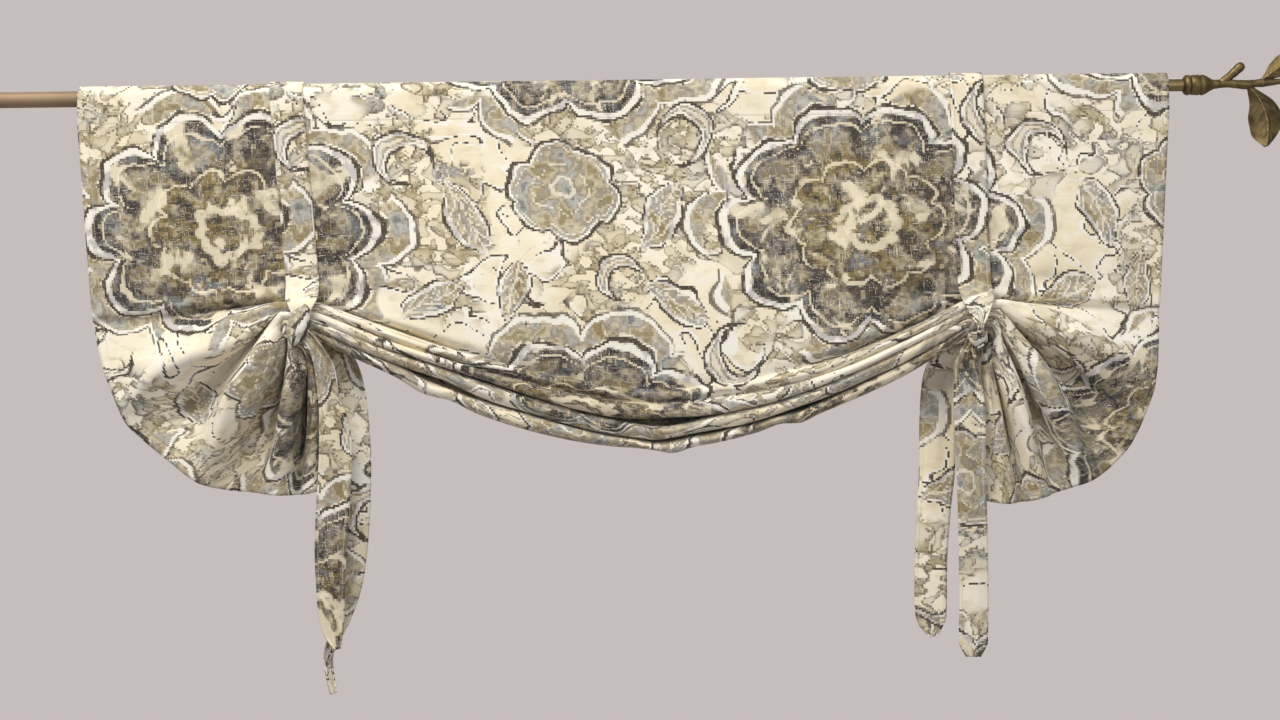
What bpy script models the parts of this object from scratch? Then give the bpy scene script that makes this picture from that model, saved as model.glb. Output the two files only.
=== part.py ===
"""Tie-up valance on its curtain rod.

Metres, +Z up. X runs along the rod, to the right seen from the front, and the front of the
cloth faces -Y. The origin is on the rod's axis, at the middle of the cloth's width.

The panel is one sheet: its columns run down the cloth and its rows run across it. Two ties
gather it, so the lower cloth hangs in rolled folds, as a swag between the ties and as a fan
outside each of them. The folds lie between lines, where the cloth tucks in.
"""
import math
from collections import namedtuple

import bmesh
import bpy
from mathutils import Matrix, Vector

# Cloth
CLOTH = 0.0016
TIE_CLOTH = 0.0012
SEAT_GAP = 0.0005

# Rod
TUBE_R = 0.008
INNER_TUBE_R = 0.00635
SLIDE_GAP = 0.0003
TUBE_LEFT_X = -0.652
TUBE_RIGHT_X = 0.060
BORE_DEPTH = 0.215
INNER_TUBE_LEFT_X = -0.150
INNER_TUBE_RIGHT_X = 0.566
TUBE_SIDES = 32
CAP_LENGTH = 0.012
CAP_R = 0.0095
CAP_END_R = 0.0066
CAP_END_BEVEL = 0.002
CAP_BACK_BEVEL = 0.0015

# Rod pocket: a round sleeve with a pressed top edge
POCKET_R = 0.0095
POCKET_TOP = 0.0121
POCKET_SIDE_STEP = math.radians(25)
SEAM_Z = -0.026
PANEL_Y = -0.0105

# Gathered cloth
PINCH_HALF = 0.011
STACK_NOSE_Y = -0.032
STACK_TUCK_Y = -0.007
SWAG_SHOULDER_Y = -0.0355
FAN_SHOULDER_Y = -0.022
SWAG_LOW = 0.52
OPENING_RUN = 0.09
SWAG_ROUNDING = 0.16
SWAG_WOBBLE = 0.0016
FAN_MIDDLE = 0.45
FAN_SLANT = 0.016
FAN_INNER_START = 0.10
FAN_INNER_CURVE = 0.75
FAN_INNER_FALL = 4
FAN_OPEN_BY = 0.8
FAN_EDGE_BULGE_LOSS = 0.7
CLEAR_OF_TIE = 0.018
BULGE_RUN = 0.050
WAVE_DEPTH = 0.0022
WAVE_LENGTH = 0.118
WAVE_PHASE = 0.8
WAVE_END = 0.91

# inner_bow is how far the fan's inner hem swings towards the swag below its tie, and fan_bow how
# far the folds of the fan bow outwards.
Tie = namedtuple("Tie", "side outward top_x knot_x stack_top edge_top_x inner_bow fan_bow")
LEFT_TIE = Tie("left", -1, -0.337, -0.321, 0.206, -0.547, 0.014, 0.010)
RIGHT_TIE = Tie("right", 1, 0.3466, 0.352, 0.213, 0.550, 0.006, 0.014)

# A line is where the cloth tucks in between two folds. knot_drop is from the top of the
# gathered stack, mid_drop from the rod's axis. The curves are the powers of the swag's sag on
# each side of its lowest point, and wander shifts a line's slow wobble along the swag. The
# edges are shares of the fan's outline.
Line = namedtuple("Line", "name knot_drop mid_drop mid_y left_curve right_curve wander"
                          " left_edge right_edge fan_y edge_y")
LINES = (
    Line("soft trough", 0.002, 0.299, -0.0335, 1.15, 1.85, 0.0, 0.05, 0.04, -0.010, -0.011),
    Line("second trough", 0.011, 0.315, -0.0300, 1.20, 1.90, 0.6, 0.47, 0.56, 0.003, -0.008),
    Line("lip", 0.020, 0.331, -0.0010, 1.20, 1.70, 1.7, 0.77, 0.76, 0.005, -0.006),
    Line("middle roll", 0.029, 0.3465, 0.0020, 1.45, 1.85, 3.3, 0.88, 0.87, 0.004, -0.003),
    Line("lower roll", 0.038, 0.3586, 0.0030, 1.60, 1.95, 4.4, 1.00, 1.00, 0.001, -0.005),
)

# A fold stands forward between two lines. The noses are its front, and open tells how far
# its sides have spread, from 0 for a tight roll to 1 for a soft wave.
Fold = namedtuple("Fold", "name mid_nose mid_open fan_nose edge_nose fan_open")
FOLDS = (
    Fold("panel wave", -0.0370, 1.0, -0.040, -0.019, 1.0),
    Fold("lip roll", -0.0385, 0.1, -0.046, -0.022, 1.0),
    Fold("middle roll", -0.0350, 0.1, -0.041, -0.023, 0.7),
    Fold("lower roll", -0.0310, 0.1, -0.034, -0.019, 0.6),
)

# One fold's section, from its upper line to its lower one: how far along it lies, and how far
# forward, as shares, for a tight roll and for a soft wave.
Row = namedtuple("Row", "name tight_along tight_forward soft_along soft_forward")
SECTION = (
    Row("tuck", 0.0, 0.0, 0.0, 0.0),
    Row("upper side", 0.14, 0.40, 0.14, 0.16),
    Row("upper shoulder", 0.14, 0.82, 0.26, 0.50),
    Row("above nose", 0.28, 0.96, 0.38, 0.86),
    Row("nose", 0.50, 1.0, 0.50, 1.0),
    Row("below nose", 0.72, 0.96, 0.62, 0.86),
    Row("lower shoulder", 0.86, 0.82, 0.74, 0.50),
    Row("lower side", 0.86, 0.40, 0.86, 0.16),
)
HEM = Row("hem", 0.84, 0.06, 0.96, 0.04)

UPPER_SHARES = (0.16, 0.33, 0.50, 0.66, 0.80, 0.91, 0.965)
FAN_SHARES = (1.0, 0.86, 0.72, 0.58, 0.45, 0.33, 0.21, 0.10, 0.0)
SWAG_SHARES = (0.0, 0.03, 0.07, 0.12, 0.19, 0.27, 0.36, 0.45, 0.52,
               0.60, 0.68, 0.76, 0.83, 0.89, 0.94, 0.97, 1.0)

# Free edge of each fan, from level with the stack's top to its inner corner, as x and z
LEFT_OUTLINE = ((-0.536, -0.209), (-0.526, -0.263), (-0.508, -0.311), (-0.496, -0.335),
                (-0.454, -0.370), (-0.420, -0.391), (-0.373, -0.399), (-0.329, -0.4015),
                (-0.300, -0.395))
RIGHT_OUTLINE = ((0.537, -0.215), (0.536, -0.257), (0.530, -0.303), (0.5085, -0.359),
                 (0.482, -0.388), (0.449, -0.403), (0.419, -0.413), (0.385, -0.4195),
                 (0.354, -0.415))

# Ties
TIE_HALF_WIDTH = 0.0166
KNOT_Y = -0.0425
KNOT_HALF_DEPTH = 0.0085
# Each knot is a slim wrapped lump. drop is its middle's, from the top of the gathered stack, and
# its lower end leans to the left.
Knot = namedtuple("Knot", "x drop half_width half_height lean")
LEFT_KNOT = Knot(-0.3240, 0.0255, 0.0092, 0.0190, math.radians(15))
RIGHT_KNOT = Knot(0.3500, 0.0300, 0.0096, 0.0165, math.radians(10))

# One tie's way round the gathered cloth, down the front and up the back, as y, z and half
# width. The left tie's heights; the right tie's lie lower with its knot.
FRONT_STRAP = ((-0.0126, -0.026, 0.0166), (-0.0127, -0.080, 0.0166), (-0.0127, -0.135, 0.0166))
WRAP = ((-0.0130, -0.1780, 0.0166), (-0.0165, -0.1930, 0.0135), (-0.0270, -0.2005, 0.0108),
        (-0.0345, -0.2080, 0.0090), (-0.0350, -0.2200, 0.0090), (-0.0350, -0.2350, 0.0090),
        (-0.0335, -0.2450, 0.0090), (-0.0270, -0.2495, 0.0090), (-0.0150, -0.2505, 0.0090),
        (-0.0065, -0.2480, 0.0090), (-0.0042, -0.2400, 0.0090), (-0.0040, -0.2080, 0.0090),
        (-0.0030, -0.1800, 0.0166))
BACK_STRAP = ((0.0010, -0.120, 0.0166), (0.0062, -0.060, 0.0166), (0.0108, -0.010, 0.0166))

# Finial. The collar's rows are distance from its start and radius; the stems' are x, z, radius.
FINIAL_GAP = 0.0003
COLLAR_SIDES = 24
COLLAR = ((0.000, 0.0078), (0.002, 0.0098), (0.010, 0.0106), (0.018, 0.0106),
          (0.024, 0.0088), (0.030, 0.0055))
STEM = ((0.5933, 0.0000, 0.0046), (0.6120, 0.0010, 0.0042), (0.6300, -0.0005, 0.0045),
        (0.6480, 0.0012, 0.0040), (0.6640, 0.0022, 0.0032), (0.6740, 0.0030, 0.0018))
SIDE_STEM = ((0.6050, 0.0020, 0.0038), (0.6125, 0.0072, 0.0043), (0.6190, 0.0128, 0.0047),
             (0.6248, 0.0176, 0.0044), (0.6277, 0.0202, 0.0022))
Leaf = namedtuple("Leaf", "root tip half_width lean bow")
HANGING_LEAF = Leaf((0.6290, -0.001, 0.001), (0.6478, -0.004, -0.0638), 0.0172, 0.25, 0.010)
RISING_LEAF = Leaf((0.643, -0.001, 0.002), (0.682, -0.004, 0.0290), 0.0105, -0.2, 0.0)
LEAF_THICKNESS = 0.0016
LEAF_STEPS = 9
LEAF_ROOT_SHARE = 0.06
LEAF_TIP_SHARE = 0.96
LEAF_FULLNESS = 0.8
LEAF_CUP = 0.32
LEAF_CUP_CURVE = 1.5
LEAF_DROOP = 0.05


def clear_scene():
    for old in list(bpy.data.objects):
        bpy.data.objects.remove(old, do_unlink=True)


def lerp(a, b, share):
    return a + (b - a) * share


def ease(share):
    """Smooth step from 0 to 1."""
    share = min(max(share, 0.0), 1.0)
    return share * share * (3.0 - 2.0 * share)


def material(name, colour, roughness, metallic=0.0):
    made = bpy.data.materials.new(name)
    made.use_nodes = True
    shader = made.node_tree.nodes["Principled BSDF"]
    shader.inputs["Base Color"].default_value = (*colour, 1.0)
    shader.inputs["Roughness"].default_value = roughness
    shader.inputs["Metallic"].default_value = metallic
    return made


def make_object(name, verts, faces, finish):
    mesh = bpy.data.meshes.new(name)
    mesh.from_pydata([tuple(v) for v in verts], [], faces)
    mesh.update()
    mesh.materials.append(finish)
    made = bpy.data.objects.new(name, mesh)
    bpy.context.collection.objects.link(made)
    bpy.context.view_layer.update()
    return made


def join_by_union(base, others):
    """Boolean union of closed pieces into base, which keeps its name."""
    for other in others:
        union = base.modifiers.new("union", "BOOLEAN")
        union.operation = "UNION"
        union.solver = "EXACT"
        union.object = other
        depsgraph = bpy.context.evaluated_depsgraph_get()
        joined = bpy.data.meshes.new_from_object(base.evaluated_get(depsgraph))
        base.modifiers.clear()
        base.data = joined
        bpy.data.objects.remove(other, do_unlink=True)
    return base


def along_outline(outline, share):
    """Point at a share of the outline's length."""
    points = [Vector((x, 0.0, z)) for x, z in outline]
    steps = [(b - a).length for a, b in zip(points, points[1:])]
    left = share * sum(steps)
    for start, end, step in zip(points, points[1:], steps):
        if left <= step:
            return start.lerp(end, left / step)
        left -= step
    return points[-1]


def pocket_arc(radius):
    """Front half of a sleeve of this radius, from its pressed top down to its side."""
    top = radius * POCKET_TOP / POCKET_R
    flank = math.pi / 2 - math.acos(POCKET_R / POCKET_TOP)
    arc = [(0.0, top)]
    for angle in (flank, POCKET_SIDE_STEP, 0.0):
        arc.append((-radius * math.cos(angle), radius * math.sin(angle)))
    return arc


def pocket_rows():
    """Section of the rod pocket, from the turned-in end up the back and over to the seam."""
    front = pocket_arc(POCKET_R)
    back = [(-y, z) for y, z in reversed(front[1:])]
    turned_in = [(PANEL_Y + CLOTH, SEAM_Z), (0.0010, -0.0175), (0.0080, -0.0072)]
    return turned_in + back + front + [(PANEL_Y, SEAM_Z)]


def between_lines(number, along):
    """The line that lies part of the way from one line to the next."""
    upper, lower = LINES[number], LINES[number + 1]
    mixed = [lerp(a, b, along) for a, b in zip(upper[1:], lower[1:])]
    return Line(upper.name, *mixed)


def fold_rows(place, noses, opens):
    """Rows of all four folds in one column.

    place gives a line's point in this column, noses are the depths of the folds' fronts and
    opens tell how far each fold has spread.
    """
    rows = []
    for number, (nose, spread) in enumerate(zip(noses, opens)):
        section = SECTION + ((HEM,) if number == len(noses) - 1 else ())
        for row in section:
            along = lerp(row.tight_along, row.soft_along, spread)
            forward = lerp(row.tight_forward, row.soft_forward, spread)
            point = place(between_lines(number, along))
            point.y = lerp(point.y, nose, forward)
            rows.append(point)
    return rows


def upper_rows(seam, first_line, shoulder_y, wave):
    """Rows from the pocket's seam down to the first tuck."""
    rows = []
    for share in UPPER_SHARES:
        point = seam.lerp(first_line, share)
        point.y = lerp(PANEL_Y, shoulder_y, ease(share))
        point.y -= wave * math.sin(math.pi * min(share / WAVE_END, 1.0))
        rows.append(point)
    return rows


def soft_wave(x):
    """Slight fullness of the cloth between and outside the ties."""
    nearest = min(abs(x - tie.knot_x) for tie in (LEFT_TIE, RIGHT_TIE))
    swing = 0.5 + 0.5 * math.sin(2 * math.pi * x / WAVE_LENGTH + WAVE_PHASE)
    return WAVE_DEPTH * swing * ease((nearest - CLEAR_OF_TIE) / BULGE_RUN)


def column(top_x, place, noses, opens, shoulder_y):
    pocket = [Vector((top_x, y, z)) for y, z in pocket_rows()]
    upper = upper_rows(pocket[-1], place(LINES[0]), shoulder_y, soft_wave(top_x))
    return pocket + upper + fold_rows(place, noses, opens)


def rounded_power(share, power):
    """share to a power, from 0 to 1, with a round bottom in place of a corner at 0."""
    def height(value):
        return (value * value + SWAG_ROUNDING ** 2) ** (power / 2)
    return (height(share) - height(0.0)) / (height(1.0) - height(0.0))


def sag(share, line):
    """How far down a line has come, from 0 at either tie to 1 at the swag's lowest point."""
    if share < SWAG_LOW:
        return 1.0 - rounded_power((SWAG_LOW - share) / SWAG_LOW, line.left_curve)
    return 1.0 - rounded_power((share - SWAG_LOW) / (1.0 - SWAG_LOW), line.right_curve)


def swag_column(share):
    left_x = LEFT_TIE.knot_x + PINCH_HALF
    right_x = RIGHT_TIE.knot_x - PINCH_HALF
    x = lerp(left_x, right_x, share)
    top_x = lerp(LEFT_TIE.top_x + PINCH_HALF, RIGHT_TIE.top_x - PINCH_HALF, share)
    from_tie = min(x - left_x, right_x - x)
    opened = ease(from_tie / OPENING_RUN)
    stack_top = lerp(LEFT_TIE.stack_top, RIGHT_TIE.stack_top, share)

    def place(line):
        drop = lerp(stack_top + line.knot_drop, line.mid_drop, sag(share, line))
        drop += SWAG_WOBBLE * opened * math.sin(3 * math.pi * share + line.wander)
        return Vector((x, lerp(STACK_TUCK_Y, line.mid_y, opened), -drop))

    noses = [lerp(STACK_NOSE_Y, fold.mid_nose, opened) for fold in FOLDS]
    opens = [fold.mid_open * opened for fold in FOLDS]
    bulge = ease((from_tie + PINCH_HALF - CLEAR_OF_TIE) / (2 * BULGE_RUN))
    return column(top_x, place, noses, opens, lerp(PANEL_Y, SWAG_SHOULDER_Y, bulge))


def through(start, middle, end, share):
    """Eases from start over middle to end."""
    if share < FAN_MIDDLE:
        return lerp(start, middle, ease(share / FAN_MIDDLE))
    return lerp(middle, end, ease((share - FAN_MIDDLE) / (1.0 - FAN_MIDDLE)))


def fan_column(tie, outline, share):
    knot_x = tie.knot_x + tie.outward * PINCH_HALF
    top_x = lerp(tie.top_x + tie.outward * PINCH_HALF, tie.edge_top_x, share)
    past_tie = max(0.0, share - FAN_INNER_START) / (1.0 - FAN_INNER_START)
    inner_bow = tie.inner_bow * math.sin(math.pi * past_tie ** FAN_INNER_CURVE)

    def place(line):
        slant = FAN_SLANT * (1.0 - line.knot_drop / LINES[-1].knot_drop)
        knot = Vector((knot_x + tie.outward * slant, 0.0, -(tie.stack_top + line.knot_drop)))
        edge_share = line.left_edge if tie is LEFT_TIE else line.right_edge
        point = knot.lerp(along_outline(outline, edge_share), share)
        bow = tie.fan_bow * 4 * edge_share * (1.0 - edge_share) * math.sin(math.pi * share)
        point.x += tie.outward * (bow - inner_bow * edge_share ** FAN_INNER_FALL)
        point.y = through(STACK_TUCK_Y, line.fan_y, line.edge_y, share)
        return point

    noses = [through(STACK_NOSE_Y, fold.fan_nose, fold.edge_nose, share) for fold in FOLDS]
    opens = [fold.fan_open * ease(share / FAN_OPEN_BY) for fold in FOLDS]
    from_tie = abs(place(LINES[0]).x - tie.knot_x)
    bulge = ease((from_tie - CLEAR_OF_TIE) / BULGE_RUN) * (1.0 - FAN_EDGE_BULGE_LOSS * share)
    return column(top_x, place, noses, opens, lerp(PANEL_Y, FAN_SHOULDER_Y, bulge))


def panel_columns():
    columns = [fan_column(LEFT_TIE, LEFT_OUTLINE, share) for share in FAN_SHARES]
    columns += [swag_column(share) for share in SWAG_SHARES]
    columns += [fan_column(RIGHT_TIE, RIGHT_OUTLINE, share) for share in reversed(FAN_SHARES)]
    return columns


def skins(columns):
    """Outer and inner skin of the sheet, half its thickness to each side of the columns."""
    outer, inner = [], []
    last_column, last_row = len(columns) - 1, len(columns[0]) - 1
    for i, points in enumerate(columns):
        before, after = columns[max(i - 1, 0)], columns[min(i + 1, last_column)]
        for j, point in enumerate(points):
            across = after[j] - before[j]
            down = Vector((0.0, 0.0, 0.0))
            if j > 0:
                down += (point - points[j - 1]).normalized()
            if j < last_row:
                down += (points[j + 1] - point).normalized()
            normal = down.cross(across).normalized()
            outer.append(point + normal * CLOTH / 2)
            inner.append(point - normal * CLOTH / 2)
    return outer, inner


def split(a, b, c, d):
    """A four-sided face as two triangles. Both faces of the cloth are split the same way, so
    they stay apart where it twists."""
    return [(a, b, c), (a, c, d)]


def make_panel():
    """The printed panel with its rod pocket, as one closed sheet.

    The turned-in end of the pocket is sewn to the panel's back at the seam row, so there the
    two share their inner points.
    """
    columns = panel_columns()
    rows = len(columns[0])
    seam = len(pocket_rows()) - 1
    outer, inner = skins(columns)
    count = len(outer)

    def front(i, j):
        return i * rows + j

    def back(i, j):
        return count + i * rows + (seam if j == 0 else j)

    faces = []
    for i in range(len(columns) - 1):
        k = i + 1
        for j in range(rows - 1):
            faces += split(front(i, j), front(i, j + 1), front(k, j + 1), front(k, j))
            if j != seam:
                faces += split(back(i, j), back(i, j + 1), back(k, j + 1), back(k, j))
        faces.append((front(k, 0), back(k, seam + 1), back(i, seam + 1), front(i, 0)))
        faces.append((front(i, rows - 1), back(i, rows - 1), back(k, rows - 1),
                      front(k, rows - 1)))
    last = len(columns) - 1
    for j in range(rows - 1):
        if j == seam:
            faces.append((back(0, j), back(0, j + 1), front(0, 0)))
            faces.append((front(0, j), back(0, j), back(0, j + 1), front(0, j + 1)))
            faces.append((front(last, 0), back(last, j + 1), back(last, j)))
            faces.append((front(last, j + 1), back(last, j + 1), back(last, j),
                          front(last, j)))
        else:
            faces.append((front(0, j), back(0, j), back(0, j + 1), front(0, j + 1)))
            faces.append((front(last, j + 1), back(last, j + 1), back(last, j),
                          front(last, j)))
    panel = make_object("panel", outer + inner, faces,
                        material("printed cotton", (0.72, 0.67, 0.52), 0.85))
    drop_loose_points(panel)
    return panel


def drop_loose_points(made):
    mesh = bmesh.new()
    mesh.from_mesh(made.data)
    loose = [v for v in mesh.verts if not v.link_faces]
    bmesh.ops.delete(mesh, geom=loose, context="VERTS")
    bmesh.ops.recalc_face_normals(mesh, faces=mesh.faces)
    mesh.to_mesh(made.data)
    mesh.free()


def ribbon(name, path, finish, closed=False):
    """A strip of tie cloth along path, whose rows are point, half width and turn."""
    verts, faces = [], []
    count = len(path)
    across = (-1, 0, 1)
    for i, (point, half_width, turn) in enumerate(path):
        after = path[(i + 1) % count if closed else min(i + 1, count - 1)][0]
        before = path[(i - 1) % count if closed else max(i - 1, 0)][0]
        along = (after - before).normalized()
        width = Vector((math.cos(turn), math.sin(turn), 0.0))
        width = (width - along * width.dot(along)).normalized()
        through_cloth = along.cross(width)
        for face in (-1, 1):
            for side in across:
                verts.append(point + width * side * half_width
                             + through_cloth * face * TIE_CLOTH / 2)
    columns = len(across)
    row = 2 * columns
    for i in range(count if closed else count - 1):
        start, end = i * row, (i + 1) % count * row
        for j in (0, 1, columns, columns + 1):
            faces += split(start + j, start + j + 1, end + j + 1, end + j)
        for j in (0, columns - 1):
            faces += split(start + j, start + j + columns, end + j + columns, end + j)
    if not closed:
        for start in (0, (count - 1) * row):
            for j in range(columns - 1):
                faces += split(start + j, start + j + 1, start + columns + j + 1,
                               start + columns + j)
    made = make_object(name, verts, faces, finish)
    drop_loose_points(made)
    return made


def smooth_rows(rows):
    """The rows of a path with one more between each two, on a smooth curve through them."""
    smooth = [rows[0]]
    last = len(rows) - 1
    for i in range(last):
        before, after = rows[max(i - 1, 0)], rows[min(i + 2, last)]
        start, end = rows[i], rows[i + 1]
        middle = [(9 * (b + c) - a - d) / 16 for a, b, c, d in zip(before, start, end, after)]
        smooth += [middle, end]
    return smooth


def tie_loop_path(tie):
    """Once round: over the rod pocket, down the front, under the gathered stack, up the back."""
    lower = tie.stack_top - LEFT_TIE.stack_top
    sleeve = pocket_arc(POCKET_R + CLOTH / 2 + SEAT_GAP + TIE_CLOTH / 2)
    rows = [(y, z, TIE_HALF_WIDTH) for y, z in sleeve]
    rows += FRONT_STRAP
    rows += [(y, z - lower, half_width) for y, z, half_width in WRAP]
    rows += BACK_STRAP
    rows += [(-y, z, TIE_HALF_WIDTH) for y, z in reversed(sleeve[1:])]
    path = []
    for y, z, half_width in rows:
        x = lerp(tie.top_x, tie.knot_x, min(max(-z / tie.stack_top, 0.0), 1.0))
        path.append((Vector((x, y, z)), half_width, 0.0))
    return path


# Free ends of the ties. The front end hangs from the knot, the back end from under the stack.
TailRow = namedtuple("TailRow", "x y z half_width turn")
LEFT_FRONT_TAIL = (
    TailRow(-0.3200, -0.0420, -0.238, 0.0050, 0.0), TailRow(-0.3120, -0.0405, -0.252, 0.0055, 0.2),
    TailRow(-0.3030, -0.0350, -0.272, 0.0080, 0.35), TailRow(-0.2965, -0.0295, -0.305, 0.0100, 0.3),
    TailRow(-0.2912, -0.0270, -0.330, 0.0148, 0.2), TailRow(-0.2902, -0.0240, -0.360, 0.0164, 0.1),
    TailRow(-0.2938, -0.0210, -0.410, 0.0166, 0.0), TailRow(-0.2970, -0.0195, -0.456, 0.0162, -0.05),
    TailRow(-0.2976, -0.0185, -0.4965, 0.0144, 0.0), TailRow(-0.2971, -0.0180, -0.527, 0.0126, 0.0),
    TailRow(-0.2947, -0.0180, -0.5432, 0.0084, 0.1), TailRow(-0.2912, -0.0180, -0.556, 0.0024, 0.1),
)
LEFT_BACK_TAIL = (
    TailRow(-0.3180, -0.0060, -0.2475, 0.0050, 0.0), TailRow(-0.3030, 0.0030, -0.252, 0.0065, 0.0),
    TailRow(-0.2870, 0.0060, -0.263, 0.0100, 0.1), TailRow(-0.2775, 0.0045, -0.292, 0.0130, 0.2),
    TailRow(-0.2740, 0.0020, -0.350, 0.0160, 0.2), TailRow(-0.2750, 0.0000, -0.420, 0.0160, 0.3),
    TailRow(-0.2800, -0.0010, -0.485, 0.0150, 0.5), TailRow(-0.2905, -0.0010, -0.530, 0.0120, 0.8),
    TailRow(-0.3030, 0.0000, -0.562, 0.0070, 1.0), TailRow(-0.3025, 0.0000, -0.585, 0.0050, 1.0),
    TailRow(-0.2990, 0.0000, -0.603, 0.0022, 1.0),
)
RIGHT_FRONT_TAIL = (
    TailRow(0.3500, -0.0420, -0.247, 0.0050, 0.0), TailRow(0.3425, -0.0410, -0.263, 0.0065, -0.2),
    TailRow(0.3385, -0.0395, -0.282, 0.0115, -0.2), TailRow(0.3412, -0.0385, -0.315, 0.0152, -0.1),
    TailRow(0.3432, -0.0345, -0.370, 0.0148, 0.0), TailRow(0.3450, -0.0275, -0.440, 0.0148, 0.1),
    TailRow(0.3461, -0.0210, -0.510, 0.0146, 0.0), TailRow(0.3452, -0.0200, -0.548, 0.0146, 0.0),
    TailRow(0.3450, -0.0200, -0.560, 0.0138, 0.0), TailRow(0.3448, -0.0200, -0.5715, 0.0068, 0.0),
)
RIGHT_BACK_TAIL = (
    TailRow(0.3490, -0.0060, -0.2545, 0.0050, 0.0), TailRow(0.3380, 0.0020, -0.263, 0.0065, 0.0),
    TailRow(0.3245, 0.0055, -0.272, 0.0100, -0.1), TailRow(0.3160, 0.0050, -0.292, 0.0150, -0.1),
    TailRow(0.3136, 0.0030, -0.340, 0.0166, 0.0), TailRow(0.3100, 0.0010, -0.420, 0.0166, 0.1),
    TailRow(0.3064, 0.0000, -0.471, 0.0164, 0.05), TailRow(0.3053, 0.0000, -0.520, 0.0162, 0.0),
    TailRow(0.3058, 0.0000, -0.537, 0.0144, 0.0), TailRow(0.3066, 0.0000, -0.5475, 0.0078, 0.0),
    TailRow(0.3067, 0.0000, -0.5530, 0.0030, 0.0),
)


def tail(name, rows, finish):
    path = [(Vector(row[:3]), row[3], row[4]) for row in smooth_rows(rows)]
    return ribbon(name, path, finish)


def make_knot(tie, knot, finish):
    bpy.ops.mesh.primitive_uv_sphere_add(segments=16, ring_count=10, radius=1.0)
    made = bpy.context.object
    size = (knot.half_width, KNOT_HALF_DEPTH, knot.half_height)
    turn = Matrix.Rotation(knot.lean, 3, "Y")
    place = Vector((knot.x, KNOT_Y, -(tie.stack_top + knot.drop)))
    for vertex in made.data.vertices:
        vertex.co = place + turn @ Vector(c * s for c, s in zip(vertex.co, size))
    made.data.materials.append(finish)
    return made


def make_tie(tie, knot, front_tail, back_tail):
    finish = material(f"tie cloth {tie.side}", (0.66, 0.61, 0.48), 0.85)
    loop = ribbon(f"tie_{tie.side}", tie_loop_path(tie), finish, closed=True)
    parts = [make_knot(tie, knot, finish), tail("front tail", front_tail, finish),
             tail("back tail", back_tail, finish)]
    return join_by_union(loop, parts)


def lathe(name, profile, sides, finish):
    """A turned piece about the X axis. The profile's rows are x and radius, left to right."""
    verts, faces = [], []
    for x, radius in profile:
        for step in range(sides):
            angle = 2 * math.pi * step / sides
            verts.append((x, radius * math.cos(angle), radius * math.sin(angle)))
    for i in range(len(profile) - 1):
        for step in range(sides):
            other = (step + 1) % sides
            faces.append((i * sides + step, i * sides + other,
                          (i + 1) * sides + other, (i + 1) * sides + step))
    faces.append(tuple(range(sides)))
    faces.append(tuple((len(profile) - 1) * sides + step for step in range(sides)))
    made = make_object(name, verts, faces, finish)
    drop_loose_points(made)
    made.data.shade_smooth()
    made.data.set_sharp_from_angle(angle=math.radians(35))
    return made


def make_rod():
    brass = material("satin brass", (0.50, 0.40, 0.28), 0.35, 1.0)
    bore_r = INNER_TUBE_R + SLIDE_GAP
    bore_x = TUBE_RIGHT_X - BORE_DEPTH
    lathe("rod_outer_tube", ((TUBE_LEFT_X, TUBE_R), (TUBE_RIGHT_X, TUBE_R),
                             (TUBE_RIGHT_X, bore_r), (bore_x, bore_r)), TUBE_SIDES, brass)
    lathe("rod_inner_tube", ((INNER_TUBE_LEFT_X, INNER_TUBE_R),
                             (INNER_TUBE_RIGHT_X, INNER_TUBE_R)), TUBE_SIDES,
          material("satin brass inner", (0.46, 0.37, 0.26), 0.35, 1.0))
    cap_right = TUBE_LEFT_X - SLIDE_GAP
    cap_left = cap_right - CAP_LENGTH
    lathe("rod_end_cap", ((cap_left, CAP_END_R), (cap_left + CAP_END_BEVEL, CAP_R),
                          (cap_right - CAP_BACK_BEVEL, CAP_R), (cap_right, TUBE_R)),
          TUBE_SIDES, material("end cap brass", (0.48, 0.38, 0.26), 0.35, 1.0))


def twig(name, rows, finish, sides=10):
    """A tapered round stem in the rod's plane, whose rows are x, z and radius."""
    verts, faces = [], []
    points = [Vector((x, 0.0, z)) for x, z, radius in rows]
    last = len(points) - 1
    for i, point in enumerate(points):
        along = (points[min(i + 1, last)] - points[max(i - 1, 0)]).normalized()
        first = along.cross(Vector((0.0, 1.0, 0.0))).normalized()
        second = along.cross(first)
        for step in range(sides):
            angle = 2 * math.pi * step / sides
            offset = first * math.cos(angle) + second * math.sin(angle)
            verts.append(point + offset * rows[i][2])
    for i in range(last):
        for step in range(sides):
            other = (step + 1) % sides
            faces.append((i * sides + step, i * sides + other,
                          (i + 1) * sides + other, (i + 1) * sides + step))
    faces.append(tuple(range(sides)))
    faces.append(tuple(last * sides + step for step in range(sides)))
    made = make_object(name, verts, faces, finish)
    drop_loose_points(made)
    return made


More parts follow.
